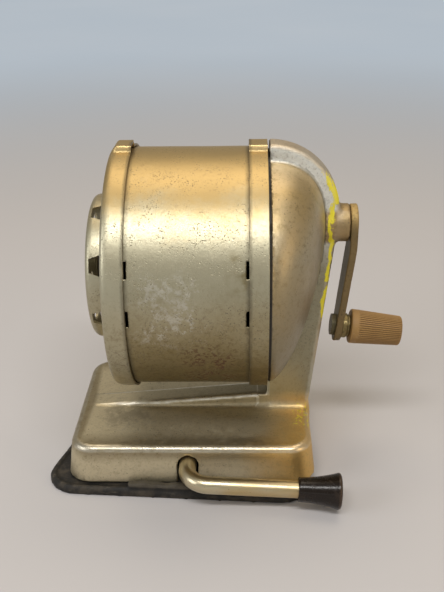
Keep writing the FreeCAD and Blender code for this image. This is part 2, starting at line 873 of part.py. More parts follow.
def make_gear_screws():
    flange_start = s.upright_face - s.ring_flange
    grip = s.ring_flange + s.bulkhead - s.rim_width
    pieces = []
    for k, (y, z) in enumerate(gear_screw_spots()):
        depth = s.gear_screw_head_depth
        head = rod(f"gear_screw_head_{k}", s.gear_screw_head, depth, "x", flange_start - depth, y, z)
        shank = rod(f"gear_screw_shank_{k}", s.gear_screw_radius, grip, "x", flange_start, y, z)
        pieces.append(joined(f"gear_screw_{k}", [head, shank]))
    group = named("Part::Compound", "gear_screws")
    group.Links = pieces


# Cutting head: carrier, axles, cutters and pinions
SIDES = {"a": Y_AXIS, "b": -Y_AXIS}


def along_axle(axis):
    """The frame whose X axis runs along an axle to the gears' common apex."""
    spot = Vector(cones.apex, 0, crank_height.value)
    return Placement(spot, Rotation(axis, s.cutter_tilt.value))


def axle_span():
    """Distances from the apex of the axle's two ends, each just inside its plate."""
    ends = (carrier_start.value + s.axle_inset.value, carrier_end.value - s.axle_inset.value)
    return [(cones.apex - end) / math.cos(cones.tilt) for end in ends]


rear_plate_start = teeth_end + s.rear_plate_gap
carrier_end = rear_plate_start + s.rear_plate
cutter_near = cones.pinion_distance + s.pinion_width.value / 2 + s.cutter_gap.value
cutter_far = cutter_near + s.cutter_length.value
cutter_front = cones.apex - cutter_far * math.cos(cones.tilt)
front_plate_end = size_of(cutter_front) - s.cutter_radius * sine(s.cutter_tilt) - s.front_plate_gap
carrier_start = front_plate_end - s.front_plate


def axle_hole(label, axis):
    far, close = axle_span()
    hole = named("Part::Cylinder", label)
    bind(hole, "Radius", s.axle_radius)
    margin = s.front_plate.value
    hole.Height = far - close + 2 * margin
    turn = Rotation(Y_AXIS, RIGHT_ANGLE)
    hole.Placement = along_axle(axis) * Placement(Vector(-far - margin, 0, 0), turn)
    return hole


def make_cutter_carrier():
    span = sleeve(carrier_start, front_plate_end, s.front_plate_bore, s.front_plate_radius)
    front = turned("carrier_front", span)
    span = sleeve(rear_plate_start, carrier_end, s.shaft_radius, s.rear_plate_radius)
    rear = turned("carrier_rear", span)
    for plate in (front, rear):
        place(plate, z=crank_height)
    x_span = (front_plate_end, rear_plate_start)
    z_span = (crank_height - s.bridge_width / 2, crank_height + s.bridge_width / 2)
    bridges = [
        block("bridge_front", x_span, (-s.bridge_outer, -s.bridge_inner), z_span),
        block("bridge_back", x_span, (s.bridge_inner, s.bridge_outer), z_span),
    ]
    solid = joined("carrier_solid", [front, rear] + bridges)
    holes = [axle_hole(f"axle_hole_{key}", axis) for key, axis in SIDES.items()]
    cut_from("cutter_carrier", solid, holes)


def cutter_shape():
    """A roller with sharp teeth, each a straight-sided lobe that twists along the roller."""
    teeth = int(s.cutter_teeth.value)
    outer = s.cutter_radius.value
    inner = outer - s.cutter_tooth.value
    wires = []
    for station in range(TWIST_STATIONS):
        share = station / (TWIST_STATIONS - 1)
        twist = math.radians(s.cutter_twist.value) * share
        along = -cutter_far + s.cutter_length.value * share
        spots = []
        for k in range(teeth):
            angle = twist + 2 * math.pi * k / teeth
            gullet = angle + s.cutter_gullet.value * 2 * math.pi / teeth
            spots.append(Vector(along, outer * math.cos(angle), outer * math.sin(angle)))
            spots.append(Vector(along, inner * math.cos(gullet), inner * math.sin(gullet)))
        wires.append(Part.makePolygon(spots + spots[:1]))
    bore = s.axle_radius.value + s.running_fit.value
    hole = Part.makeCylinder(bore, s.cutter_length.value, Vector(-cutter_far, 0, 0), X_AXIS)
    return Part.makeLoft(wires, True, True).cut(hole)


def pinion_shape():
    teeth = s.pinion_teeth.value
    radius = cones.pinion_radius
    inner = radius - s.tooth_foot.value
    outer = radius + s.tooth_top.value
    ends = [cones.pinion_distance + side * s.pinion_width.value / 2 for side in (1, -1)]
    wires = []
    for end in ends:
        scale = end / cones.pinion_distance
        halves = (tooth_half(-s.tooth_foot.value), tooth_half(s.tooth_top.value))
        wires.append(toothed_wire(teeth, inner, halves[0], outer, halves[1], scale, -end))
    bore = s.axle_radius.value + s.running_fit.value
    length = s.pinion_width.value + s.cutter_gap.value
    neck = Part.makeCylinder(s.pinion_neck.value, s.cutter_gap.value, Vector(-cutter_near, 0, 0), X_AXIS)
    hole = Part.makeCylinder(bore, length, Vector(-cutter_near, 0, 0), X_AXIS)
    return Part.makeLoft(wires, True, True).fuse(neck).cut(hole)


def make_cutters():
    far, close = axle_span()
    for key, axis in SIDES.items():
        axle = named("Part::Cylinder", f"cutter_axle_{key}")
        bind(axle, "Radius", s.axle_radius)
        axle.Height = far - close
        axle.Placement = along_axle(axis) * Placement(Vector(-far, 0, 0), Rotation(Y_AXIS, RIGHT_ANGLE))
        shaped(f"cutter_{key}", cutter_shape(), along_axle(axis))
        shaped(f"pinion_{key}", pinion_shape(), along_axle(axis))


# Crank: shaft, bush, arm, screw and knob
def make_crank_shaft():
    screw_end = arm_outer - s.screw_length
    shaft = [
        (rear_plate_start, 0),
        (rear_plate_start, s.shaft_radius),
        (arm_outer, s.shaft_radius),
        (arm_outer, s.screw_radius),
        (screw_end, s.screw_radius),
        (screw_end, 0),
    ]
    head_end = arm_outer + s.screw_head_depth
    screw = [
        (screw_end, 0),
        (screw_end, s.screw_radius),
        (arm_outer, s.screw_radius),
        (arm_outer, s.screw_head),
        (head_end, s.screw_head - s.screw_head_depth / 2),
        (head_end, 0),
    ]
    bore = s.shaft_radius + s.running_fit
    screw_body = turned("crank_screw", screw)
    slot = sketch_on(screw_body, "YZ_Plane", head_end)
    half = s.screw_slot / 2
    draw_polygon(slot, box_outline(-half, half, -s.screw_head, s.screw_head))
    extrude(screw_body, slot, s.screw_slot_depth, "PartDesign::Pocket")
    washer_end = boss_start - s.running_fit
    pieces = [
        turned("crank_shaft", shaft),
        screw_body,
        turned("shaft_bush", sleeve(boss_start, boss_end, bore, bush_radius)),
        turned("thrust_washer", sleeve(carrier_end, washer_end, s.shaft_radius, s.washer_radius)),
    ]
    for piece in pieces:
        place(piece, z=crank_height)


def make_crank_arm():
    """A flat strip with a slight bend that leans towards the base."""
    body = named("PartDesign::Body", "crank_arm")
    sketch = sketch_on(body, "XZ_Plane")
    top = s.arm_width / 2
    low = -s.crank_radius - s.arm_width / 2
    shift = (low + s.arm_straight) * tangent(s.arm_lean)
    strip = [
        (arm_inner, top),
        (arm_outer, top),
        (arm_outer, -s.arm_straight),
        (arm_outer + shift, low),
        (arm_inner + shift, low),
        (arm_inner, -s.arm_straight),
    ]
    draw_polygon(sketch, strip)
    extrude(body, sketch, s.arm_width, both_sides=True)
    ends = (top.value, low.value)
    end_round = s.arm_width / 2 - s.running_fit

    def corner(edge, middle):
        return runs_along(edge, X_AXIS) and min(abs(middle.z - end) for end in ends) < s.running_fit.value

    rounded(body, end_round, corner)
    place(body, z=crank_height)
    bore_start = arm_inner - s.arm_gap
    bore = rod("arm_bore", s.shaft_radius, 2 * s.arm_thickness, "x", bore_start, 0, crank_height)
    pin_hole = named("Part::Cylinder", "knob_pin_hole")
    bind(pin_hole, "Radius", s.knob_pin_radius)
    bind(pin_hole, "Height", 4 * s.arm_thickness)
    turn = RIGHT_ANGLE + s.arm_lean
    reach = 2 * s.arm_thickness
    start_x = knob_x - reach * cosine(s.arm_lean)
    place(pin_hole, start_x, 0, knob_z + reach * sine(s.arm_lean), Y_AXIS, turn)
    body.Label = "arm_strip"
    cut_from("crank_arm", body, [bore, pin_hole])


knob_x = (arm_inner + arm_outer) / 2 - (s.crank_radius - s.arm_straight) * tangent(s.arm_lean)
knob_z = crank_height - s.crank_radius
arm_skin = s.arm_thickness * cosine(s.arm_lean) / 2


def make_knob():
    ferrule_end = arm_skin + s.ferrule_length
    start = ferrule_end + s.knob_gap
    end = start + s.knob_length
    bore = s.knob_pin_radius + s.running_fit
    bore_end = start + s.knob_bore_depth
    head = -arm_skin - s.knob_pin_head_depth
    pin_end = bore_end - s.knob_gap
    pin_profile = [
        (head, 0),
        (head, s.knob_pin_head),
        (-arm_skin, s.knob_pin_head),
        (-arm_skin, s.knob_pin_radius),
        (pin_end, s.knob_pin_radius),
        (pin_end, 0),
    ]
    grip = [
        (start, bore),
        (bore_end, bore),
        (bore_end, 0),
        (end, 0),
        (end, s.knob_tip),
        (start, s.knob_root),
    ]
    core = turned("knob_core", grip)
    outer_ends = (start.value, end.value)

    def end_edge(edge, middle):
        wide = math.hypot(middle.y, middle.z) > s.knob_pin_head.value
        return wide and min(abs(middle.x - spot) for spot in outer_ends) < s.running_fit.value

    rounded(core, s.knob_edge, end_edge)
    taper = math.degrees(math.atan((s.knob_root.value - s.knob_tip.value) / s.knob_length.value))
    cutter = Part.makeCylinder(s.flute_radius.value, s.flute_length.value, Vector(), -X_AXIS)
    cutter.Placement = Placement(Vector(end.value, 0, s.knob_tip.value), Rotation(Y_AXIS, taper))
    count = int(s.flute_count.value)
    flutes = []
    for k in range(count):
        flute = cutter.copy()
        flute.rotate(Vector(), X_AXIS, 2 * HALF_TURN * k / count)
        flutes.append(flute)
    grooves = shaped("knob_flutes", Part.makeCompound(flutes))
    knob = cut_from("crank_knob", core, [grooves])
    pieces = [
        turned("knob_pin", pin_profile),
        turned("knob_ferrule", sleeve(arm_skin, ferrule_end, s.knob_pin_radius, s.ferrule_radius)),
        knob,
    ]
    for piece in pieces:
        place(piece, knob_x, 0, knob_z, Y_AXIS, s.arm_lean)


# Suction lever: bent rod, grip, cam, and the link that lifts the pad's middle
def make_lever_rod():
    body = named("PartDesign::Body", "lever_rod")
    path = sketch_on(body, "XY_Plane")
    inner_end = s.cam_inner
    bend_start = s.lever_bend - s.lever_reach
    arm_end = s.grip_start + s.grip_socket
    bend = s.lever_bend.value
    centre = Vector(bend, bend_start.value, 0)
    path.addGeometry(Part.LineSegment(Vector(0, inner_end.value, 0), Vector(0, bend_start.value, 0)))
    path.addGeometry(Part.ArcOfCircle(Part.Circle(centre, Z_AXIS, bend), math.pi, 1.5 * math.pi))
    reach = -s.lever_reach.value
    path.addGeometry(Part.LineSegment(Vector(bend, reach, 0), Vector(arm_end.value, reach, 0)))
    path.addConstraint(Sketcher.Constraint("Coincident", 0, 2, 1, 1))
    path.addConstraint(Sketcher.Constraint("Coincident", 1, 2, 2, 1))
    pin(path, "DistanceX", 0, 1, 0)
    pin(path, "DistanceY", 0, 1, inner_end)
    pin(path, "DistanceX", 0, 2, 0)
    pin(path, "DistanceY", 0, 2, bend_start)
    pin(path, "DistanceX", 2, 1, s.lever_bend)
    pin(path, "DistanceY", 2, 1, -s.lever_reach)
    pin(path, "DistanceX", 2, 2, arm_end)
    pin(path, "DistanceY", 2, 2, -s.lever_reach)
    pin(path, "DistanceX", 1, 3, s.lever_bend)
    section = sketch_on(body, "XZ_Plane", -inner_end)
    draw_circle(section, 0, 0, s.lever_radius)
    doc.recompute()
    pipe = body.newObject("PartDesign::AdditivePipe", "lever_sweep")
    pipe.Profile = section
    pipe.Spine = (path, ["Edge1", "Edge2", "Edge3"])
    place(body, 0, 0, s.lever_height, Y_AXIS, s.lever_slope)


def make_lever_grip():
    """A trumpet-shaped sleeve: its radius grows with the square of the way along."""
    end = s.grip_start + s.grip_length
    socket = s.grip_start + s.grip_socket
    flare = s.grip_tip - s.grip_root
    crown = end - s.grip_crown
    outline = [(s.grip_start, s.lever_radius)]
    for k in range(FLARE_STATIONS + 1):
        share = k / FLARE_STATIONS
        along = s.grip_start + (s.grip_length - s.grip_crown) * share
        outline.append((along, s.grip_root + flare * share ** 2))
    outline.append((crown + s.grip_crown / 2, s.grip_tip - s.grip_crown / 2))
    outline.append((end, s.grip_root))
    outline.append((end, 0))
    outline.append((socket, 0))
    outline.append((socket, s.lever_radius))
    grip = turned("lever_grip", outline)
    place(grip, 0, -s.lever_reach, s.lever_height, Y_AXIS, s.lever_slope)


def make_lever_cam():
    disc = rod("cam_disc", s.cam_radius, s.cam_thickness, "y", 0, s.cam_inner, 0)
    pin_start = s.cam_inner + s.cam_thickness
    crank_pin = rod("cam_pin", s.cam_pin_radius, s.cam_pin_length, "y", s.cam_throw, pin_start)
    cam = joined("lever_cam", [disc, crank_pin])
    place(cam, 0, 0, s.lever_height, Y_AXIS, s.cam_start)


def make_pull():
    plate_top = s.pad_thickness + s.pull_plate_thickness
    rod("pull_plate", s.pull_plate_radius, s.pull_plate_thickness, "z", 0, 0, s.pad_thickness)
    pin_x = s.cam_throw * (1 + cosine(s.cam_start)) / 2
    sway = s.cam_throw * (1 - cosine(s.cam_start)) / 2
    pin_z = s.lever_height - s.cam_throw * sine(s.cam_start)
    half_height = s.cam_pin_radius + s.cam_pin_fit
    half_width = half_height + sway
    half_link = s.link_width / 2
    depth = (-s.link_thickness / 2, s.link_thickness / 2)
    top = pin_z + half_height + s.link_wall
    link = block("link_blank", (pin_x - half_link, pin_x + half_link), depth, (plate_top, top))
    slot_x = (pin_x - half_width, pin_x + half_width)
    slot = block("link_slot", slot_x, depth, (pin_z - half_height, pin_z + half_height))
    cut_from("pull_link", link, [slot])


def make_lever_bracket():
    half = s.bracket_width / 2
    front = s.bracket_face - s.bracket_flange
    flange_low = ceiling - s.bracket_sheet
    flange = block("bracket_flange", (-half, half), (front, s.bracket_face), (flange_low, ceiling))
    leg_front = s.bracket_face - s.bracket_sheet
    leg_span = (ceiling - s.bracket_drop, ceiling)
    leg = block("bracket_leg", (-half, half), (leg_front, s.bracket_face), leg_span)
    bearing = s.lever_radius + s.running_fit
    tools = [rod("bracket_bearing", bearing, s.bracket_sheet, "y", 0, leg_front, s.lever_height)]
    screws = []
    for k, (x, y) in enumerate(bracket_screw_spots()):
        radius = s.bracket_screw_radius
        tools.append(rod(f"flange_hole_{k}", radius, s.bracket_sheet, "z", x, y, flange_low))
        depth = s.bracket_screw_head_depth
        head = rod(f"bracket_head_{k}", s.bracket_screw_head, depth, "z", x, y, flange_low - depth)
        length = s.bracket_sheet + s.bracket_screw_bite
        shank = rod(f"bracket_shank_{k}", radius, length, "z", x, y, flange_low)
        screws.append(joined(f"bracket_screw_{k}", [head, shank]))
    cut_from("lever_bracket", joined("bracket_blank", [flange, leg]), tools)
    group = named("Part::Compound", "bracket_screws")
    group.Links = screws


NODES = [
    "suction_pad", "frame_casting", "receptacle_drum", "front_cap", "rear_ring", "size_dial",
    "dial_rivet", "dial_spring", "dial_spacer", "ring_gear", "gear_screws", "cutter_carrier",
    "cutter_axle_a", "cutter_axle_b", "cutter_a", "cutter_b", "pinion_a", "pinion_b",
    "crank_shaft", "crank_screw", "shaft_bush", "thrust_washer", "crank_arm", "knob_pin",
    "knob_ferrule", "crank_knob", "lever_rod", "lever_grip", "lever_cam", "pull_plate",
    "pull_link", "lever_bracket", "bracket_screws",
]

make_suction_pad()
make_frame_casting()
make_receptacle_drum()
make_front_cap()
make_rear_ring()
make_size_dial()
make_dial_pivot()
make_ring_gear()
make_gear_screws()
make_cutter_carrier()
make_cutters()
make_crank_shaft()
make_crank_arm()
make_knob()
make_lever_rod()
make_lever_grip()
make_lever_cam()
make_pull()
make_lever_bracket()
doc.recompute()

for thing in doc.Objects:
    if "Invalid" in thing.State or "Error" in thing.State:
        raise RuntimeError(f"{thing.Label} failed: {thing.State}")

pieces = {label: doc.getObjectsByLabel(label)[0] for label in NODES}
for label, piece in pieces.items():
    if piece.Shape.isNull() or not piece.Shape.isValid():
        raise RuntimeError(f"{label} has no valid shape")

os.makedirs("parts", exist_ok=True)
for label, piece in pieces.items():
    piece.Shape.exportStep(f"parts/{label}.step")
    box = piece.Shape.BoundBox
    corners = (box.XMin, box.XMax, box.YMin, box.YMax, box.ZMin, box.ZMax)
    volume = round(piece.Shape.Volume, 1)
    print(label, len(piece.Shape.Solids), volume, [round(value, 2) for value in corners])
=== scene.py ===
import math

import bmesh
import bpy
import numpy as np
from mathutils import Matrix, Vector


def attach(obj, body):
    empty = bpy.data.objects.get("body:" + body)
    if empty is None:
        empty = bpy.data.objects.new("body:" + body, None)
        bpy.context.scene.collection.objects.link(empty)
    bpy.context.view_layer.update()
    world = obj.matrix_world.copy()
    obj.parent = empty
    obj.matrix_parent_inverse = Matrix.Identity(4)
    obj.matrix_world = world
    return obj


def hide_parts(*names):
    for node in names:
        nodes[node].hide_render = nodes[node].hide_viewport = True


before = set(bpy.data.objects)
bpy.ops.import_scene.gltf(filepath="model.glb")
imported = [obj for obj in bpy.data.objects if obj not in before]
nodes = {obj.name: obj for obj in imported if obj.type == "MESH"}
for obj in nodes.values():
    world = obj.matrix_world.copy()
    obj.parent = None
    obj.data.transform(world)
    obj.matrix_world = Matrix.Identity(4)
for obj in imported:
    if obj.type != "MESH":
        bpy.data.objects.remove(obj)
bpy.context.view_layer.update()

# Main measures in millimetres, in the frame of the solids: X along the drum towards the crank, Z up.
MM = 0.001
PER_METRE = 1000.0
SHEET_WALL = 0.9
DRUM_Z = 79.5
DRUM_R = 45.0
BAND_R = 45.95
BAND_INNER_R = 45.05
BUMP_R = 47.85
CAP_FACE = -26.5
CAP_FLAT_R = 42.0
SKIRT_END = -18.5
RING_START = 23.5
RING_END = 30.2
FACE_X = 30.8
FACE_EDGE = 0.5
SPIGOT_R = 43.9
SPIGOT_STEPS = ((41.9, 25.0), (39.5, 29.2))
CRANK_Z = 96.5
PENCIL_UP = CRANK_Z - DRUM_Z
PAD_TOP = 3.5
MAT_TOP = 2.8
TAB_TOP = 5.25
BASE_X = 1.0
BASE_TOP = 18.5
BASE_HALF = (48.0, 35.5)
BASE_CORNER = 9.0
BASE_WALL = 2.5
BASE_EDGE = 2.3
BASE_DRAFT = math.radians(6.3)
RIB_START = -42.0
RIB_RUN = 70.5
RIB_RISE = 6.3
RIB_EDGE = 1.5
HEEL_TOP = 24.7
WEB_HALF = 5.0
WEB_TOP = 127.5
WEB_REACH = 60.1
WEB_EDGE = 1.6
WEB_LEAN = math.radians(6.66)
DOME_DEPTH = 21.0
DOME_UP = (25.0, 2.4)
DOME_DOWN = (62.0, 1.55)
DOME_FILLET = 1.5
BOSS_R = 7.1
BOSS_END = 60.8
DIAL_FACE = -35.0
DIAL_END = DIAL_FACE + 5.8
DIAL_R = 27.3
DIAL_HOLES = (4.05, 3.25, 4.4, 4.8, 5.2, 5.6, 6.0, 3.6)
LEVER_Z = 11.0
LEVER_REACH = 46.0
LEVER_SLOPE = math.radians(3.0)
ARM_X = 62.35
ARM_R = 7.0
ARM_DROP = 43.6
ARM_TAPER = 0.03
ARM_LEAN = math.radians(6.5)
KNOB_SPOT = (58.476, 0.0, 53.5)

# Points closer than these, in metres, are one
SAME_SPOT = 1e-7
SLIVER = 2e-6


# Distances: a form is the set of points where its field is below nought
def round_cut(a, b, radius):
    """Where two forms overlap: the larger distance, with the edge between them rounded to a radius."""
    corner = np.hypot(np.maximum(a + radius, 0), np.maximum(b + radius, 0))
    return np.minimum(np.maximum(a, b), -radius) + corner


def fillet_join(a, b, radius):
    """Two forms together: the smaller distance, with the valley between them filled to a radius."""
    valley = np.hypot(np.maximum(radius - a, 0), np.maximum(radius - b, 0))
    return np.maximum(np.minimum(a, b), radius) - valley


def rounded_oblong(x, y, half_x, half_y, corner):
    """Distance to a rectangle about nought with round corners, in its plane."""
    over_x = np.abs(x) - half_x + corner
    over_y = np.abs(y) - half_y + corner
    outside = np.hypot(np.maximum(over_x, 0), np.maximum(over_y, 0))
    return outside + np.minimum(np.maximum(over_x, over_y), 0) - corner


def eased(share):
    """A smooth step: three times the square less twice the cube of a share that is cut to 0 to 1."""
    share = np.clip(share, 0, 1)
    return share * share * (3 - 2 * share)


def slope_of(field, points, step=0.05):
    """Central differences of a field along X, Y and Z."""
    steps = np.eye(3) * step
    return np.stack([field(points + d) - field(points - d) for d in steps], axis=-1) / (2 * step)


def skin(field, low, high, pitch, settling=4):
    """Points and quads of the surface on which a field is nought.

    Every cell of a lattice that the surface crosses gets one point, at the mean of the crossings
    on the cell's twelve edges, and the point then settles along the field's slope onto the surface.
    Every crossed edge of the lattice gives the quad of the four cells round it.
    """
    low = np.array(low, float)
    counts = np.ceil((np.array(high, float) - low) / pitch).astype(int) + 1
    axes = [low[k] + pitch * np.arange(counts[k]) for k in range(3)]
    value = field(np.stack(np.meshgrid(*axes, indexing="ij"), axis=-1))
    inside = value < 0
    corner = np.stack(np.meshgrid([0, 1], [0, 1], [0, 1], indexing="ij"), axis=-1).reshape(8, 3)
    size = counts - 1
    full = sum(inside[i:i + size[0], j:j + size[1], k:k + size[2]].astype(int) for i, j, k in corner)
    cell = np.argwhere((full > 0) & (full < 8))
    number = np.full(size, -1)
    number[tuple(cell.T)] = np.arange(len(cell))
    height = value[tuple(np.moveaxis(cell[:, None] + corner, -1, 0))]
    first, second = np.argwhere(np.triu(np.abs(corner[:, None] - corner).sum(-1) == 1)).T
    a, b = height[:, first], height[:, second]
    crossed = (a < 0) != (b < 0)
    share = np.where(crossed, a / np.where(crossed, a - b, 1), 0)[..., None]
    spot = corner[first] + share * (corner[second] - corner[first])
    mean = (spot * crossed[..., None]).sum(1) / crossed.sum(1)[:, None]
    points = low + pitch * (cell + mean)
    for _ in range(settling):
        slope = slope_of(field, points)
        move = (field(points) / np.maximum((slope ** 2).sum(-1), 1e-6))[:, None] * slope
        points = points - np.clip(move, -0.5 * pitch, 0.5 * pitch)
    quads = []
    for k in range(3):
        here = np.moveaxis(inside, [k, (k + 1) % 3, (k + 2) % 3], [0, 1, 2])
        cells = np.moveaxis(number, [k, (k + 1) % 3, (k + 2) % 3], [0, 1, 2])
        i, j, m = np.argwhere(here[:-1, 1:-1, 1:-1] != here[1:, 1:-1, 1:-1]).T
        round_edge = [cells[i, j, m], cells[i, j + 1, m], cells[i, j + 1, m + 1], cells[i, j, m + 1]]
        quad = np.stack(round_edge, -1)
        outward = here[i, j + 1, m + 1]
        quads.append(np.where(outward[:, None], quad, quad[:, ::-1]))
    return points, np.concatenate(quads)


def edge_and_crease(field, points, step=0.5):
    """How sharply the surface bends at its points, outwards and inwards.

    The sum of a distance's second differences is its bend: one over the radius on a round edge,
    below nought in a fillet, and nought on a plane.
    """
    steps = np.concatenate([np.eye(3), -np.eye(3)]) * step
    bend = (sum(field(points + d) for d in steps) - 6 * field(points)) / step ** 2
    return np.clip(bend, 0, 1), np.clip(-bend, 0, 1)


# Meshes
def patch_faces(shape, first=0):
    """Quads between the neighbours of a grid of points, numbered row by row."""
    index = first + np.arange(shape[0] * shape[1]).reshape(shape[:2])
    return np.stack([index[:-1, :-1], index[1:, :-1], index[1:, 1:], index[:-1, 1:]], -1).reshape(-1, 4)


def piece(name, points, quads, finish, body, stands_for=(), marks=None, crisp=35, outward=True):
    """An object from points in millimetres, with its doubles merged and its faces turned outwards.

    Edges sharper than the crisp angle, in degrees, stay sharp. A piece without a body is a tool or a stage.
    """
    mesh = bpy.data.meshes.new(name)
    mesh.from_pydata((points * MM).tolist(), [], quads.tolist())
    for mark, values in (marks or {}).items():
        layer = mesh.attributes.new(mark, "FLOAT", "POINT")
        layer.data.foreach_set("value", np.ascontiguousarray(values, dtype=np.float32))
    form = bmesh.new()
    form.from_mesh(mesh)
    bmesh.ops.remove_doubles(form, verts=form.verts, dist=SAME_SPOT)
    if outward:
        bmesh.ops.recalc_face_normals(form, faces=form.faces)
    form.to_mesh(mesh)
    form.free()
    mesh.shade_smooth()
    mesh.set_sharp_from_angle(angle=math.radians(crisp))
    mesh.materials.append(finish)
    thing = bpy.data.objects.new(name, mesh)
    bpy.context.scene.collection.objects.link(thing)
    if body:
        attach(thing, body)
        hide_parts(*stands_for)
    return thing


def patches(*grids):
    """Several grids of points as one list of points and quads."""
    points, quads, first = [], [], 0
    for grid in grids:
        points.append(grid.reshape(-1, 3))
        quads.append(patch_faces(grid.shape, first))
        first += grid.shape[0] * grid.shape[1]
    return np.concatenate(points), np.concatenate(quads)


def softened(corners, radii, steps=6):
    """A closed outline whose corners are curves that leave each side at a radius from the corner.

    Each curve is a parabola: the corner is its middle control point.
    """
    here = np.array(corners, float)
    reach = np.broadcast_to(np.array(radii, float), len(here))[:, None]
    ends = []
    for other in (np.roll(here, 1, axis=0), np.roll(here, -1, axis=0)):
        side = other - here
        length = np.linalg.norm(side, axis=1, keepdims=True)
        ends.append(here + side / length * np.minimum(reach, 0.49 * length))
    u = np.linspace(0, 1, steps + 1)[None, :, None]
    curve = (1 - u) ** 2 * ends[0][:, None] + 2 * u * (1 - u) * here[:, None] + u ** 2 * ends[1][:, None]
    outline = curve.reshape(-1, 2)
    return np.concatenate([outline, outline[:1]])


def turned(profile, count=144, swell=None):
    """A profile of (along X, radius) pairs carried round the X axis.

    The count is a number of equal steps or the angles themselves; swell(x, r, angle) changes the radius.
    """
    angle = np.linspace(0, 2 * math.pi, count + 1)[None, :] if np.isscalar(count) else count[None, :]
    x = profile[:, :1] + 0 * angle
    r = profile[:, 1:] + 0 * angle
    if swell is not None:
        r = swell(x, r, angle)
    return np.stack([x, r * np.sin(angle), r * np.cos(angle)], axis=-1)


def tilted(points, angle, spot):
    """Points turned about the Y axis, which tips +X down, and moved to a spot."""
    x, y, z = np.moveaxis(points, -1, 0)
    c, s = math.cos(angle), math.sin(angle)
    return np.stack([x * c + z * s, y, z * c - x * s], axis=-1) + np.array(spot)


def carved(thing, tool):
    """Cut one object's form out of another, clean the cut of slivers, and drop the tool."""
    cut = thing.modifiers.new("cut", "BOOLEAN")
    cut.object = tool
    cut.solver = "EXACT"
    bpy.context.view_layer.update()
    shaped = bpy.data.meshes.new_from_object(thing.evaluated_get(bpy.context.evaluated_depsgraph_get()))
    thing.modifiers.remove(cut)
    form = bmesh.new()
    form.from_mesh(shaped)
    bmesh.ops.triangulate(form, faces=form.faces)
    bmesh.ops.remove_doubles(form, verts=form.verts, dist=SLIVER)
    bmesh.ops.dissolve_degenerate(form, edges=form.edges, dist=SLIVER)
    form.to_mesh(shaped)
    form.free()
    shaped.set_sharp_from_angle(angle=math.radians(30))
    thing.data = shaped
    bpy.data.objects.remove(tool)


# Finishes
class Value:
    """A shader socket that takes part in sums: each operator adds one Math node."""

    def __init__(self, finish, socket):
        self.finish = finish
        self.socket = socket

    def math(self, operation, *terms):
        return self.finish.node("ShaderNodeMath", {"operation": operation}, dict(enumerate(terms)))

    def __add__(self, other):
        return self.math("ADD", self, other)

    def __sub__(self, other):
        return self.math("SUBTRACT", self, other)

    def __rsub__(self, other):
        return self.math("SUBTRACT", other, self)

    def __mul__(self, other):
        return self.math("MULTIPLY", self, other)

    def __abs__(self):
        return self.math("ABSOLUTE", self)

    __radd__ = __add__
    __rmul__ = __mul__

    def most(self, other):
        """The larger of two values."""
        return self.math("MAXIMUM", self, other)

    def rise(self, low, high):
        """An eased step from 0 to 1 between two levels."""
        inputs = {"Value": self, "From Min": low, "From Max": high}
        return self.finish.node("ShaderNodeMapRange", {"interpolation_type": "SMOOTHSTEP"}, inputs)

    def fall(self, low, high):
        """An eased step from 1 to 0 between two levels."""
        return 1 - self.rise(low, high)

    def between(self, low, full, fade, high):
        """1 between the two middle levels, eased to 0 at the outer two."""
        return self.rise(low, full) * self.fall(fade, high)


class Finish:
    """A material that is written as sums of patterns; x, y and z are the place in millimetres."""

    def __init__(self, name):
        self.material = bpy.data.materials.new(name)
        self.material.use_nodes = True
        self.tree = self.material.node_tree
        self.tree.nodes.clear()
        self.place = self.node("ShaderNodeTexCoord", {}, {}, "Object")
        parts = (self.node("ShaderNodeSeparateXYZ", {}, {"Vector": self.place}, axis) for axis in "XYZ")
        self.x, self.y, self.z = (part * PER_METRE for part in parts)

    def node(self, kind, settings, inputs, output=0):
        """Add a node: its settings first, then the values or links of its sockets."""
        made = self.tree.nodes.new(kind)
        for name, setting in settings.items():
            setattr(made, name, setting)
        for name, value in inputs.items():
            socket = made.inputs[name]
            if isinstance(value, Value):
                self.tree.links.new(value.socket, socket)
            else:
                socket.default_value = value
        return Value(self, made.outputs[output]) if len(made.outputs) else made

    def noise(self, size, detail=2.0, roughness=0.5, stretch=(1, 1, 1), seed=0.0):
        """Cloudy noise with features of about a size in millimetres, drawn out along the axes by a stretch."""
        scale = tuple(PER_METRE / (size * part) for part in stretch)
        shift = (seed, seed, seed)
        place = self.node("ShaderNodeMapping", {}, {"Vector": self.place, "Scale": scale, "Location": shift})
        inputs = {"Vector": place, "Scale": 1.0, "Detail": detail, "Roughness": roughness}
        return self.node("ShaderNodeTexNoise", {}, inputs)

    def mark(self, name):
        """A mark that the piece's own points carry."""
        return self.node("ShaderNodeAttribute", {"attribute_name": name}, {}, "Fac")

    def blend(self, share, below, above):
        """One colour laid over another by a share."""
        factor, first, second, result = 0, 6, 7, 2
        inputs = {factor: share, first: below, second: above}
        return self.node("ShaderNodeMix", {"data_type": "RGBA"}, inputs, result)

    def relief(self, height, depth):
        """Fine relief of a height between 0 and 1 times a depth in millimetres."""
        return self.node("ShaderNodeBump", {}, {"Height": height, "Distance": depth * MM, "Strength": 1.0})

    def done(self, **sockets):
        """Close the material with one Principled shader."""
        inputs = {name.replace("_", " "): value for name, value in sockets.items()}
        shader = self.node("ShaderNodeBsdfPrincipled", {}, inputs)
        self.node("ShaderNodeOutputMaterial", {}, {"Surface": shader})
        return self.material


def rgb(red, green, blue):
    """An opaque colour."""
    return (red, green, blue, 1.0)


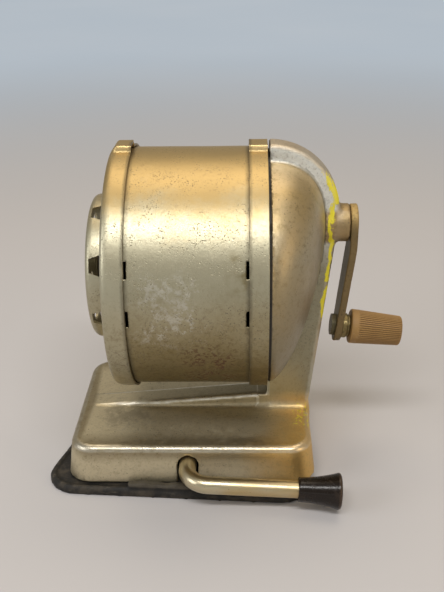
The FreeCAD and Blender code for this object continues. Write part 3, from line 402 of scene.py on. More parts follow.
CHAMPAGNE = rgb(0.525, 0.487, 0.35)
GOLDEN = rgb(0.55, 0.38, 0.145)
BRONZE = rgb(0.21, 0.15, 0.043)
UMBER = rgb(0.13, 0.082, 0.03)
OLIVE = rgb(0.37, 0.345, 0.245)
PALE = rgb(0.88, 0.885, 0.83)
STRAW = rgb(0.70, 0.61, 0.42)
DRAB = rgb(0.30, 0.245, 0.15)
HONEY = rgb(0.54, 0.39, 0.175)
COPPER = rgb(0.40, 0.285, 0.14)
AMBER = rgb(0.74, 0.48, 0.16)
TAN = rgb(0.46, 0.34, 0.20)
SEPIA = rgb(0.12, 0.09, 0.05)
SHADE = rgb(0.17, 0.145, 0.105)
GAP_SHADOW = rgb(0.012, 0.01, 0.008)
BARE_AND_GLINT = rgb(0.90, 0.87, 0.77)
SILVER = rgb(0.70, 0.68, 0.61)
GRIME_AND_SHADE = rgb(0.09, 0.075, 0.05)
RUST = rgb(0.115, 0.05, 0.019)
YELLOW = rgb(0.80, 0.70, 0.015)
SURROUND = rgb(0.30, 0.285, 0.255)


def sheet_lacquer():
    """Champagne lacquer on sheet: golden on top (yellowed lacquer and a painted warm reflection), bronze below
    (painted shade), with specks, pale bloom that is also a painted highlight, rust, and grime with painted
    shade at the seams.

    The zones follow the height, wavered by cloudy noise; the bloom and the rust lie on the drum's front.
    """
    f = Finish("sheet_lacquer")
    cloud = f.noise(24, 4)
    mottle = f.noise(3.2, 4, 0.65, seed=3)
    level = f.z + (cloud - 0.5) * 30 + (mottle - 0.5) * 12
    front = f.y.fall(-30, -10)
    on_cap = f.x.fall(-19, -18.6)
    # Golden towards the top: partly yellowed lacquer, partly a painted warm reflection
    colour = f.blend(level.rise(102, 120) * 0.8, CHAMPAGNE, GOLDEN)
    # Bronze towards the bottom: painted shade for the darker lower half of the drum
    colour = f.blend(level.fall(54, 100) * (0.85 - on_cap * 0.5), colour, BRONZE)
    # Brown mottle, stronger lower down: stains that also deepen the painted shade below
    brown = f.noise(1.5, 4, 0.72, seed=19).rise(0.46, 0.7) * level.fall(60, 96)
    colour = f.blend(brown * 0.5, colour, UMBER)
    # Pale bloom: partly hazed lacquer, partly a painted highlight, the broad bright band across the middle of
    # the drum's front
    patch = f.x.between(-19, -9, 3, 14) * f.z.between(64, 74, 90, 99) * front
    bloom_and_highlight = (f.noise(0.8, 3, 0.7, seed=13) + f.noise(8, 3, seed=5) + patch * 0.12).rise(1.1, 1.24)
    bloom_and_highlight = bloom_and_highlight * f.noise(2.6, 3, seed=18).rise(0.38, 0.62) * (0.06 + patch * 0.42)
    colour = f.blend(bloom_and_highlight, colour, SILVER)
    smudge = f.noise(4, 3, seed=12).rise(0.4, 0.7) * f.x.between(14, 20, 22, 24) * f.z.between(86, 91, 97, 103)
    colour = f.blend(smudge * front * 0.7, colour, BRONZE)
    spread = f.x.between(-6, 6, 14, 23) * f.z.between(38, 50, 60, 74) * front
    rust = (f.noise(1.3, 2, 0.6, seed=9) + spread * 0.08).rise(0.55, 0.66)
    rust = rust * f.noise(8, 3, seed=2).rise(0.38, 0.55) * (0.12 + spread * 0.88)
    colour = f.blend(rust, colour, RUST)
    specks = f.noise(0.5, 0, seed=7).rise(0.66, 0.76) * f.noise(8, 3, seed=4).rise(0.4, 0.62)
    colour = f.blend(specks * 0.5, colour, GRIME_AND_SHADE)
    # Dark line at the edges of the covers: some grime, and painted shade for the shadow in the drum's step
    off_middle = abs(f.x - (SKIRT_END + RING_START) / 2)
    seam_grime_and_shade = off_middle.between(19.2, 20.9, 21.3, 22.5) * f.noise(5, 3, seed=8).rise(0.2, 0.5)
    colour = f.blend(seam_grime_and_shade * 0.5, colour, GRIME_AND_SHADE)
    grain = f.noise(0.9, 3, 0.6, seed=6)
    roughness = 0.33 + cloud * 0.08 + grain * 0.08 + bloom_and_highlight * 0.15 + rust * 0.35 + specks * 0.2
    metal = 0.95 - rust * 0.7 - specks * 0.4
    normal = f.relief(f.noise(0.3, 2) * 0.4 + grain * 0.5 + f.noise(4, 2) * 0.9 - specks - rust * 0.6, 0.06)
    return f.done(Base_Color=colour, Roughness=roughness, Metallic=metal, Normal=normal)


def paint_smears(f, strokes):
    """Share of yellow paint: a patch high on the upright's edge, a streak down from it, flecks on the base."""
    front = f.y.between(-9, -8.5, -3.4, -2.2)
    patch = f.mark("inset").fall(1.2, 3.4) * f.z.between(103, 107, 113, 121)
    sway = (f.noise(7, 2, seed=23) - 0.5) * 5
    off_streak = abs(f.x - 51.5 - f.z.rise(48, 90) * 2.3 + sway)
    streak = off_streak.fall(0.2, 1.9) * f.z.between(54, 62, 104, 112)
    band = patch.most(streak) * front
    smears = (band + strokes * 2.6 + f.noise(0.7, 3, 0.7, seed=17)).rise(2.35, 2.6) * band.rise(0.02, 0.2)
    flecks = f.noise(1.1, 2, seed=14).rise(0.57, 0.6) * f.x.rise(40, 43)
    flecks = flecks * f.z.between(16.8, 17.6, 20, 23) * f.y.between(-20, -17, -7, -4)
    return smears.most(flecks)


def cast_lacquer():
    """Champagne lacquer on the casting: sandy grain, grime and painted shade in the creases, bright edges that
    are partly wear and partly painted highlights, yellow paint smears.

    The points' own marks say where the edges, the creases, the dome and the hub are, and how far in from
    the upright's outline a point lies; along that outline a brown reflection is painted, and the smears run
    down along it.
    """
    f = Finish("cast_lacquer")
    cloud = f.noise(26, 4, seed=1)
    grain = f.noise(0.8, 3, 0.6)
    dome, hub = f.mark("dome"), f.mark("hub")
    base = f.z.fall(19, 27)
    tall = f.z.rise(34, 44)
    sandy = (1 - dome) * tall
    level = f.z + cloud * 40 - 20
    colour = f.blend(level.fall(70, 112), PALE, OLIVE)
    colour = f.blend(base * 0.85, colour, STRAW)
    tarnish = f.blend(level.rise(66, 122), DRAB, HONEY)
    colour = f.blend(dome * (0.55 + cloud * 0.6), colour, tarnish)
    colour = f.blend(hub * 0.95, colour, COPPER)
    mottle = f.noise(2.2, 4, 0.7, seed=15).rise(0.5, 0.75)
    colour = f.blend(mottle * (0.28 + dome * 0.2), colour, BRONZE)
    pits = f.noise(0.7, 1, seed=21).rise(0.66, 0.74) * f.noise(9, 3, seed=22).rise(0.4, 0.6)
    colour = f.blend(pits * 0.6, colour, GRIME_AND_SHADE)
    # Amber towards the base's right end: partly yellowed lacquer, partly a painted warm reflection
    warm = (f.x + cloud * 20 - 10 - f.y * 0.35).rise(28, 50) * base
    colour = f.blend(warm * 0.95, colour, AMBER)
    # Painted reflection: the brown that a dark ceiling lays on the rounded top edge along the upright's outline
    outline_reflection = f.mark("inset").fall(0.5, 1.9) * sandy * (0.4 + cloud * 0.6)
    colour = f.blend(outline_reflection, colour, TAN)
    speckle = f.noise(0.9, 4, 0.75, seed=2).rise(0.5, 0.72)
    colour = f.blend(speckle * (0.22 + sandy * 0.16), colour, GRIME_AND_SHADE)
    off_x, off_y = f.x + 26, f.y + 12
    smudge = (off_x * off_x + off_y * off_y).fall(10, 190) * base
    stain = (f.noise(4, 5, 0.75, seed=6) + smudge * 0.2).rise(0.5, 0.78) * (0.35 + base * 0.65)
    colour = f.blend(stain * (0.3 + smudge * 0.2), colour, SEPIA)
    # Painted shade: creases darkened, most on the tall parts where the dome meets the upright, with a little
    # grime
    colour = f.blend(f.mark("crease").rise(0.3, 0.9) * (0.1 + tall * 0.4), colour, GRIME_AND_SHADE)
    inner = f.x.fall(FACE_X + 0.2, FACE_X + 0.5) * f.z.rise(32.5, 33)
    colour = f.blend(inner * 0.8, colour, SHADE)
    # Painted shadow: near black on the upright's face in the gap behind the rear ring's edge
    up = f.z - DRUM_Z
    in_gap = (f.y * f.y + up * up).between(42.2 ** 2, 42.9 ** 2, 45.5 ** 2, 46.2 ** 2)
    gap_shadow = in_gap * inner * f.x.rise(29.8, 30.4)
    colour = f.blend(gap_shadow * 0.97, colour, GAP_SHADOW)
    # Edges lightened: partly bare wear, partly painted highlights, strongest on the rib's edges and the base's
    # front top edge, which stand for reflected lines
    edge = f.mark("edge").rise(0.12, 0.5) * f.noise(3, 3, seed=8).rise(0.1, 0.6)
    rib = abs(f.y).fall(6.5, 7.5) * f.z.rise(18.6, 19.0) * f.x.fall(30.5, 31)
    brow = f.y.fall(-31, -29) * f.z.rise(16, 17)
    colour = f.blend(edge * (0.2 + rib * 0.6 + brow * 0.2), colour, BARE_AND_GLINT)
    strokes = f.noise(2.2, 4, 0.7, stretch=(0.8, 1, 3.0), seed=11)
    paint = paint_smears(f, strokes)
    colour = f.blend(paint * (0.55 + strokes * 0.7), colour, YELLOW)
    roughness = 0.37 + grain * 0.14 + stain * 0.1 + paint * 0.1 + hub * 0.08 + sandy * 0.1
    roughness = roughness - edge * (rib + brow) * 0.15
    metal = 0.9 - paint * 0.9 - stain * 0.3 - gap_shadow * 0.6
    normal = f.relief(grain * (0.8 + sandy * 0.6) + f.noise(4, 3) * 0.6 + paint * 0.8, 0.09)
    return f.done(Base_Color=colour, Roughness=roughness, Metallic=metal, Normal=normal)


def plain_metal(name, colour, dark, roughness, grain=0.5):
    """Bare metal with faint cloudy tarnish and fine scratches."""
    f = Finish(name)
    cloud = f.noise(6, 4)
    scratch = f.noise(0.5, 3, stretch=(8, 1, 1))
    tint = f.blend(cloud.rise(0.45, 0.75) * 0.7, colour, dark)
    rough = roughness + scratch * 0.12 + cloud * 0.1
    normal = f.relief(scratch * grain + f.noise(1.2, 2) * 0.4, 0.03)
    return f.done(Base_Color=tint, Roughness=rough, Metallic=1.0, Normal=normal)


def worn_arm_steel():
    """Plated strip gone dark olive, golden at its upper end, with rust along its edges."""
    f = Finish("worn_arm_steel")
    dark, light = rgb(0.115, 0.098, 0.052), rgb(0.19, 0.15, 0.078)
    rusty, black = rgb(0.25, 0.17, 0.075), rgb(0.06, 0.045, 0.03)
    speck = f.noise(1.1, 4, 0.7)
    edge = f.mark("edge").rise(0.04, 0.3)
    colour = f.blend(f.noise(7, 3, seed=2).rise(0.4, 0.65) * 0.6, dark, light)
    colour = f.blend(edge * (0.3 + speck * 0.8), colour, rusty)
    colour = f.blend((f.z + speck * 6).rise(97, 106) * 0.75, colour, GOLDEN)
    colour = f.blend(speck.rise(0.52, 0.7) * 0.7, colour, black)
    roughness = 0.4 + speck * 0.22 + edge * 0.1
    normal = f.relief(speck, 0.12)
    return f.done(Base_Color=colour, Roughness=roughness, Metallic=0.5, Specular_IOR_Level=0.3, Normal=normal)


def knob_plastic():
    """Tan moulded plastic, with painted shade in its flutes and small pale scuffs."""
    f = Finish("knob_plastic")
    dark, light = rgb(0.27, 0.145, 0.043), rgb(0.38, 0.228, 0.072)
    flute_shade, pale = rgb(0.12, 0.062, 0.022), rgb(0.50, 0.37, 0.20)
    cloud = f.noise(5, 4)
    colour = f.blend(cloud * 0.8, dark, light)
    # Painted shade: the flutes darkened
    colour = f.blend(f.mark("crease") * 0.85, colour, flute_shade)
    scuff = f.noise(0.9, 3, 0.7, seed=4).rise(0.62, 0.72) * f.mark("edge")
    colour = f.blend(scuff * 0.6, colour, pale)
    return f.done(Base_Color=colour, Roughness=0.5 + cloud * 0.15, Normal=f.relief(f.noise(0.6, 3), 0.05))


def grip_plastic():
    """Dark brown gloss plastic with a dusty film and fine scratches."""
    f = Finish("grip_plastic")
    black, dusty, pale = rgb(0.010, 0.006, 0.004), rgb(0.032, 0.019, 0.011), rgb(0.10, 0.06, 0.035)
    film = f.noise(4, 4, 0.6).rise(0.45, 0.75)
    scratch = f.noise(0.6, 3, stretch=(1, 1, 6)).rise(0.58, 0.75)
    colour = f.blend(film * 0.5, black, dusty)
    colour = f.blend(f.mark("edge") * 0.5, colour, pale)
    roughness = 0.22 + film * 0.16 + scratch * 0.15
    normal = f.relief(f.noise(2.5, 3), 0.05)
    return f.done(Base_Color=colour, Roughness=roughness, Specular_IOR_Level=0.35, Normal=normal)


def pad_rubber():
    """Old black rubber: dusty brown on its upper faces and its tab, partly dust and partly a painted sheen,
    scuffed along its rim, with painted shade in its creases.
    """
    f = Finish("pad_rubber")
    black, dusty, crease_shade = rgb(0.016, 0.015, 0.014), rgb(0.058, 0.048, 0.036), rgb(0.008, 0.007, 0.006)
    pale, brown = rgb(0.12, 0.10, 0.075), rgb(0.085, 0.072, 0.052)
    dust_and_sheen = f.noise(5, 5, 0.65)
    scuff = f.noise(1.2, 4, 0.7, stretch=(3, 1, 1), seed=3).rise(0.55, 0.7)
    # Dusty brown, more on the tab's top: partly dust, partly a painted sheen of the lit upper faces
    colour = f.blend(dust_and_sheen.rise(0.4, 0.7), black, dusty)
    colour = f.blend(scuff * (0.2 + f.mark("edge") * 0.6), colour, pale)
    colour = f.blend(f.mark("tab") * (0.4 + dust_and_sheen * 0.6), colour, brown)
    # Painted shade: the creases darkened
    colour = f.blend(f.mark("crease") * 0.7, colour, crease_shade)
    normal = f.relief(dust_and_sheen + f.noise(0.5, 3) * 0.4, 0.14)
    return f.done(Base_Color=colour, Roughness=0.5 + dust_and_sheen * 0.25, Specular_IOR_Level=0.3, Normal=normal)


def rod_nickel():
    """Bright nickel plate, warm where it has worn, with pits and drawn lines along the rod."""
    f = Finish("rod_nickel")
    bright, warm = rgb(0.63, 0.55, 0.38), rgb(0.56, 0.41, 0.19)
    worn = f.noise(9, 3, stretch=(3, 1, 1)).rise(0.4, 0.7)
    pits = f.noise(0.6, 2, seed=5).rise(0.68, 0.76)
    lines = f.noise(0.35, 2, stretch=(14, 1, 1))
    colour = f.blend(worn * 0.8, bright, warm)
    colour = f.blend(pits * 0.8, colour, GRIME_AND_SHADE)
    roughness = 0.27 + worn * 0.1 + lines * 0.06 + pits * 0.3
    return f.done(Base_Color=colour, Roughness=roughness, Metallic=1.0, Normal=f.relief(lines - pits, 0.02))


SHEET = sheet_lacquer()
CAST = cast_lacquer()
STEEL = plain_metal("plain_steel", rgb(0.47, 0.43, 0.35), rgb(0.24, 0.20, 0.14), 0.3)
CUT = plain_metal("cut_steel", rgb(0.50, 0.50, 0.51), rgb(0.26, 0.25, 0.24), 0.3)
CARRIER = plain_metal("carrier_casting", rgb(0.58, 0.57, 0.55), rgb(0.36, 0.34, 0.31), 0.42, 1.0)
BRASS = plain_metal("bush_brass", rgb(0.72, 0.55, 0.28), rgb(0.45, 0.32, 0.14), 0.28)
ARM = worn_arm_steel()
KNOB = knob_plastic()
GRIP = grip_plastic()
RUBBER = pad_rubber()
NICKEL = rod_nickel()


# Casting: base, rib, upright, gear dome and bearing boss
def web_outline(x, z):
    """Distance to the upright's outline in its middle plane.

    The outline has a flat top, a leaning back edge and one large round corner that touches both.
    """
    across = np.array([math.cos(WEB_LEAN), -math.sin(WEB_LEAN)])
    along = np.array([math.sin(WEB_LEAN), math.cos(WEB_LEAN)])
    radius = (WEB_REACH - FACE_X - 0.1) * math.tan((math.pi / 2 - WEB_LEAN) / 2)
    top = z - WEB_TOP
    back = (x - WEB_REACH) * across[0] + (z - WEB_TOP) * across[1]
    centre_z = WEB_TOP - radius
    centre_x = WEB_REACH - (radius + (centre_z - WEB_TOP) * across[1]) / across[0]
    to_x, to_z = x - centre_x, z - centre_z
    in_corner = (to_x > 0) & (to_x * along[0] + to_z * along[1] > 0)
    return np.where(in_corner, np.hypot(to_x, to_z) - radius, np.maximum(top, back))


def dome_section(x):
    """Centre height and radius of the dome's circle at a place along X.

    Its top and bottom follow superellipse quarters of power 2.4 and 1.55 about the crank's axis.
    """
    share = np.clip((x - FACE_X) / DOME_DEPTH, 0, 1)
    top, low = (reach * (1 - share ** power) ** (1 / power) for reach, power in (DOME_UP, DOME_DOWN))
    return CRANK_Z + (top - low) / 2, (top + low) / 2


def dome_field(p):
    """Distance to the gear dome, whose sections along X are circles."""
    x, y, z = np.moveaxis(p, -1, 0)
    centre, radius = dome_section(x)
    beyond = np.maximum(x - FACE_X - DOME_DEPTH, 0)
    return round_cut(np.hypot(np.hypot(y, z - centre), beyond) - radius, FACE_X - x, FACE_EDGE)


def web_field(p):
    """Distance to the upright, a plate with round edges."""
    x, y, z = np.moveaxis(p, -1, 0)
    plate = round_cut(web_outline(x, z), np.abs(y) - WEB_HALF, WEB_EDGE)
    return round_cut(plate, FACE_X - x, FACE_EDGE)


def base_side(x, y, z, wall=0.0):
    """Distance to the base's sides, which lean in with the height, or to a hollow with a wall round it."""
    shrink = (z - PAD_TOP) * math.tan(BASE_DRAFT)
    half_x, half_y = (half - wall - shrink for half in BASE_HALF)
    return rounded_oblong(x - BASE_X, y, half_x, half_y, BASE_CORNER - wall)


def casting_shell(p):
    """The casting's outer form: base, rib, upright, dome and spigot, joined with fillets.

    The rib climbs in a straight line towards the upright, with a low heel where they meet.
    """
    x, y, z = np.moveaxis(p, -1, 0)
    side = np.abs(y) - WEB_HALF
    behind_face = x - FACE_X - 1
    base = round_cut(base_side(x, y, z), z - BASE_TOP, BASE_EDGE)
    rise = np.clip((x - RIB_START) / RIB_RUN, 0, 1) * RIB_RISE
    rib = np.maximum(round_cut(side, z - BASE_TOP - rise, RIB_EDGE), np.maximum(behind_face, RIB_START - x))
    heel = np.maximum(round_cut(side - 0.15, z - HEEL_TOP, 0.3), np.maximum(FACE_X - 4.0 - x, behind_face))
    upright = fillet_join(dome_field(p), web_field(p), DOME_FILLET)
    drum_axis = np.hypot(y, z - DRUM_Z)
    for inner_r, start in SPIGOT_STEPS:
        along = np.maximum(start - x, x - FACE_X - 0.2)
        ring = np.maximum(np.maximum(drum_axis - SPIGOT_R, inner_r - drum_axis), along)
        upright = np.minimum(upright, ring)
    foot = np.minimum(np.minimum(rib, heel), upright)
    fillet = np.clip(0.35 * rise, 0.05, 2.2) + np.clip((x - 28) / 4, 0, 1)
    return fillet_join(base, foot, fillet)


def casting_field(p):
    """The outer form cut by its hollows, bores and lever slot, with the bearing boss added."""
    x, y, z = np.moveaxis(p, -1, 0)
    gear_r, bush_r, slot_half = 20.5, 5.25, 4.0
    crank_axis = np.hypot(y, z - CRANK_Z)
    hollow = np.maximum(base_side(x, y, z, BASE_WALL), z - (BASE_TOP - BASE_WALL))
    cavity = np.maximum(34.8 - x, x - 46.5)
    for ahead, wall in ((0, 2.0), (2.4, 0.4)):
        centre, radius = dome_section(x + ahead)
        cavity = np.maximum(cavity, np.hypot(y, z - centre) - radius + wall)
    solid = np.maximum(casting_shell(p), -np.minimum(hollow, cavity))
    boss = np.maximum(round_cut(crank_axis - BOSS_R, x - BOSS_END, 0.7), 42.0 - x)
    solid = fillet_join(solid, boss, np.clip((x - 48) / 2, 0.02, 1) * 1.4)
    gear_bore = np.maximum(crank_axis - gear_r, np.maximum(FACE_X - 1 - x, x - 37.1))
    bush_bore = np.maximum(crank_axis - bush_r, 41 - x)
    arch = np.where(z < LEVER_Z, np.abs(x) - slot_half, np.hypot(x, z - LEVER_Z) - slot_half)
    openings = np.minimum(np.minimum(bush_bore, gear_bore), np.maximum(arch, y + 30.0))
    return np.maximum(np.maximum(solid, -openings), PAD_TOP - z)


def make_casting():
    """The casting; its points are marked with what its finish needs to know."""
    points, quads = skin(casting_field, (-49, -47, 2.6), (63, 47, 130), 0.85)
    x, y, z = points.T
    edge, crease = edge_and_crease(casting_shell, points)
    edge *= np.where(z > 33, np.clip((x - FACE_X - 1.3) / 0.8, 0, 1), 1)
    boss = np.hypot(y, z - CRANK_Z) - BOSS_R
    dome = np.clip(0.5 + (web_field(points) - np.minimum(dome_field(points), boss)) / 1.5, 0, 1)
    hub = np.clip(1.6 - np.abs(boss) / 0.8, 0, 1) * np.clip((x - 51.0) / 1.5, 0, 1)
    marks = {"edge": edge, "crease": crease, "inset": -web_outline(x, z), "dome": dome, "hub": hub}
    piece("cast_frame", points, quads, CAST, "frame", ["frame_casting"], marks, 40)


# Suction pad
def pad_field(p):
    """The rubber mat: a rounded oblong, turned a little, with a bead along its rim and a wavy tab in front.

    Its ends are drawn in by an eased step from the front to the back. The bead is a bell curve over
    the distance from the rim, and the tab's top is the sum of two sine waves.
    """
    x, y, z = np.moveaxis(p, -1, 0)
    shift, turn = 2.2, math.radians(3.6)
    c, s = math.cos(turn), math.sin(turn)
    u = (x + shift) * c - y * s
    v = (x + shift) * s + y * c
    half_u = 51.0 - 4.0 * eased((v + 33.0) / 26.0)
    side = rounded_oblong(u, v, half_u, 41.0, 12.0)
    bead = 0.7 * np.exp(-((side + 1.5) / 0.8) ** 2)
    mat = round_cut(side, z - MAT_TOP - bead, 1.0)
    tab_u = u + 1.25
    wave = 0.25 * np.sin(0.45 * tab_u) + 0.15 * np.sin(1.1 * tab_u + 1)
    tab_side = rounded_oblong(tab_u, v + 38.6, 17.25, 1.5, 1.4)
    tab = round_cut(tab_side, z - TAB_TOP - wave, 0.8)
    return np.maximum(fillet_join(mat, tab, 0.5), -z)


def make_pad():
    """The pad; its points are marked with its edges, its creases and its tab."""
    points, quads = skin(pad_field, (-57, -46, -0.8), (55, 46, 6.4), 0.8)
    edge, crease = edge_and_crease(pad_field, points)
    marks = {"edge": edge, "crease": crease, "tab": np.clip((points[:, 2] - 4.0) / 0.4, 0, 1)}
    piece("rubber_pad", points, quads, RUBBER, "frame", ["suction_pad"], marks, 50)


# Receptacle
def bump_angles():
    """Angles round the drum, closer together across the bump on top."""
    wide = np.linspace(-math.pi, math.pi, 181)
    close = np.radians(np.linspace(-9, 9, 73))
    return np.unique(np.round(np.concatenate([wide, close]), 9))


def bump_share(r, angle):
    """Share of the bump at an angle from the top: eased sides 10 mm apart."""
    across = np.abs(r * np.tan(np.clip(angle, -0.6, 0.6)))
    return eased((5.2 - across) / 1.5)


def band_swell(bump_start, ramp):
    """Raise a band to the bump's flat top, which starts on a ramp along X."""
    def swell(x, r, angle):
        lift = (BUMP_R - BAND_R) + r * (1 / np.cos(np.clip(angle, -0.3, 0.3)) - 1)
        outer = np.clip((r - CAP_FLAT_R - 0.1) / 2.0, 0, 1)
        return r + bump_share(r, angle) * eased((x - bump_start) / ramp) * lift * outer
    return swell


def make_front_cap():
    """Pressed cup: a face with the pencil hole, a rounded rim, and a skirt with a fine bead at its end.

    The face's rows of points go in even steps from the hole's circle to the rim's.
    """
    inner_face, hole_r = CAP_FACE + SHEET_WALL, 7.0
    outside = [(CAP_FACE, CAP_FLAT_R), (CAP_FACE, BAND_R)]
    bead = [(SKIRT_END - 0.5, BAND_R), (SKIRT_END, BAND_R + 0.12)]
    inside = [(SKIRT_END, BAND_INNER_R), (inner_face, BAND_INNER_R), (inner_face, CAP_FLAT_R)]
    profile = softened(outside + bead + inside, [0, 3.5, 0.6, 0.35, 0.3, 2.6, 0], 12)
    angle = bump_angles()
    rim = turned(profile, angle, band_swell(CAP_FACE + 0.3, 2.6))
    circle = np.stack([np.sin(angle), np.cos(angle)], -1)
    hole = hole_r * circle + np.array([0, PENCIL_UP])
    share = np.linspace(0, 1, 14)[:, None, None]
    flat = hole * (1 - share) + CAP_FLAT_R * circle * share
    front, back = (np.insert(flat, 0, x, axis=-1) for x in (CAP_FACE, inner_face))
    collar = np.stack([front[0], back[0]])
    points, quads = patches(rim[:-1], front, back, collar)
    points[:, 2] += DRUM_Z
    piece("cap_cover", points, quads, SHEET, "receptacle", ["front_cap"])


def make_rear_ring():
    """Pressed band with a fine bead on both edges."""
    bead_r, bead = BAND_R + 0.1, 0.7
    outside = [(RING_START, bead_r), (RING_START + bead, BAND_R), (RING_END - bead, BAND_R), (RING_END, bead_r)]
    inside = [(RING_END, BAND_INNER_R), (RING_START, BAND_INNER_R)]
    profile = softened(outside + inside, [0.3, 0.5, 0.5, 0.3, 0.2, 0.2])
    points, quads = patches(turned(profile, bump_angles(), band_swell(RING_START - 3, 1.0)))
    points[:, 2] += DRUM_Z
    piece("ring_cover", points, quads, SHEET, "receptacle", ["rear_ring"])


def make_drum():
    """Sheet tube, set in by a step between its covers, with shallow dents.

    The dents are a mean depth and two slanting sine waves, three and seven to the turn, which fade
    out towards the covers. Eight lanced windows are left open in the grid, and the wall gets its
    thickness inwards.
    """
    high, low, span, width = 17.0, -5.0, 7.7, 1.0
    step_start, step_end, ramp = -21.0, 26.0, 1.4
    starts = np.array([180 - high - span, high, 180 - low - span, low])
    degrees = np.unique(np.round(np.concatenate([np.linspace(-90, 270, 241), starts, starts + span]), 6))
    slots = [(SKIRT_END, SKIRT_END + width), (RING_START - width, RING_START)]
    ramps = [np.linspace(first, first + ramp, 8) for first in (step_start, step_end - ramp)]
    along = np.unique(np.round(np.concatenate([np.linspace(-23.0, 30.0, 73), np.ravel(slots), *ramps]), 6))
    angle, x = np.meshgrid(np.radians(degrees), along, indexing="ij")
    middle = np.sin(math.pi * np.clip((x + 17.0) / 39.0, 0, 1)) ** 2
    dent = 0.10 + 0.06 * np.sin(3 * angle + 0.08 * x) + 0.05 * np.sin(7 * angle - 0.21 * x + 1)
    step = np.clip((x - step_start) / ramp, 0, 1) * np.clip((step_end - x) / ramp, 0, 1)
    r = DRUM_R - eased(step) - middle * dent
    grid = np.stack([x, r * np.cos(angle), DRUM_Z + r * np.sin(angle)], -1)
    mid_x = (x[:-1, :-1] + x[1:, 1:]) / 2
    mid_angle = np.degrees((angle[:-1, :-1] + angle[1:, 1:]) / 2)
    in_slot = np.any([(mid_x > first) & (mid_x < last) for first, last in slots], axis=0)
    in_span = np.any([(mid_angle > start) & (mid_angle < start + span) for start in starts], axis=0)
    points, quads = patches(grid)
    quads = quads[~(in_slot & in_span).ravel()][:, ::-1]
    stands_for = ["receptacle_drum"]
    tube = piece("drum_sheet", points, quads, SHEET, "receptacle", stands_for, outward=False)
    wall = tube.modifiers.new("sheet", "SOLIDIFY")
    wall.thickness = 0.8 * MM
    wall.offset = -1


def hole_tool(radius, angle):
    """A plug through the dial's face, at an angle round the dial."""
    near, far = DIAL_FACE - 2, DIAL_FACE + 2
    plug = turned(np.array([(near, 0), (near, radius), (far, radius), (far, 0)]), 48)
    return plug + np.array([0, -PENCIL_UP * math.sin(angle), DRUM_Z + PENCIL_UP * math.cos(angle)])


def notch_tool(angle):
    """A wedge across the dial's skirt: 5 mm wide at the notch's floor and wider towards the open end.

    Its rows are two sections of the wedge, inside and outside the skirt, each closed by its mean point.
    """
    floor_x, open_x = DIAL_END - 4.1, DIAL_END + 3.2
    across = np.array([(2.5, floor_x), (5.0, open_x), (-5.0, open_x), (-2.5, floor_x), (2.5, floor_x)])
    rows = []
    for reach, size in ((20, 0), (20, 1), (32, 1), (32, 0)):
        x = across[:, 1] * size + (1 - size) * across[:, 1].mean()
        side = across[:, 0] * size
        y = side * math.cos(angle) + reach * math.sin(angle)
        z = -side * math.sin(angle) + reach * math.cos(angle)
        rows.append(np.stack([x, y, DRUM_Z + z], -1))
    return np.stack(rows)


def make_dial():
    """Pressed cup with eight pencil holes of different sizes and eight notches in its skirt."""
    inner_face, inner_r, bore_r = DIAL_FACE + SHEET_WALL, DIAL_R - SHEET_WALL, 3.05
    outside = [(DIAL_FACE, bore_r), (DIAL_FACE, DIAL_R), (DIAL_END, DIAL_R)]
    inside = [(DIAL_END, inner_r), (inner_face, inner_r), (inner_face, bore_r)]
    points, quads = patches(turned(softened(outside + inside, [0.2, 3.2, 0.25, 0.25, 2.3, 0.2], 8), 192))
    points[:, 2] += DRUM_Z
    cup = piece("dial_cup", points, quads, SHEET, "dial", ["size_dial"])
    angles = np.radians(45.0 * np.arange(8))
    tools = [hole_tool(radius, angle) for radius, angle in zip(DIAL_HOLES, angles)]
    tools += [notch_tool(angle) for angle in angles + math.radians(22.5)]
    points, quads = patches(*tools)
    carved(cup, piece("dial_tools", points, quads, SHEET, None))


# Crank
def arm_field(p):
    """A flat strip with round ends, which narrows a little downwards, with softened edges and the shaft's hole.

    Below the boss its middle leans towards the drum; the bend is a soft corner, the logarithm of one
    plus an exponential.
    """
    x, y, z = np.moveaxis(p, -1, 0)
    bend_drop, bend_soft, half_thick, hole_r = 9.0, 0.8, 1.35, 4.0
    drop = z - CRANK_Z
    below = np.logaddexp(0, -(drop + bend_drop) / bend_soft) * bend_soft
    middle = ARM_X - below * math.tan(ARM_LEAN)
    along = np.clip(drop, -ARM_DROP, 0)
    outline = np.hypot(y, drop - along) - ARM_R - along * ARM_TAPER
    strip = round_cut(np.abs(x - middle) - half_thick, outline, 0.45)
    return np.maximum(strip, hole_r - np.hypot(y, drop))


def make_arm():
    """The arm; its points are marked with its edges and its narrow sides."""
    points, quads = skin(arm_field, (55.2, -8, 45.6), (65, 8, 104.4), 0.42)
    edge, _ = edge_and_crease(arm_field, points, 0.3)
    rim = np.abs(points[:, 1]) - (ARM_R - 0.8) - ARM_TAPER * np.clip(points[:, 2] - CRANK_Z, -ARM_DROP, 0)
    marks = {"edge": np.maximum(edge, np.clip(rim / 0.5, 0, 1))}
    piece("crank_strip", points, quads, ARM, "head", ["crank_arm"], marks, 50)


def make_crank_peen():
    """Low peened end of the shaft: a crown that falls with the square of the radius, on a short step."""
    back, shoulder, head_r, shaft_r = 61.5, 63.6, 4.7, 3.9
    t = np.linspace(0, 1, 12)
    crown = np.stack([63.75 + 0.5 * (1 - t ** 2), head_r * t], -1)
    foot = [(shoulder, head_r), (shoulder, shaft_r), (back, shaft_r), (back, 0.0)]
    points, quads = patches(turned(np.concatenate([[(back, 0.0)], crown, foot]), 72))
    points[:, 2] += CRANK_Z
    piece("crank_peen", points, quads, ARM, "head", ["crank_screw"])


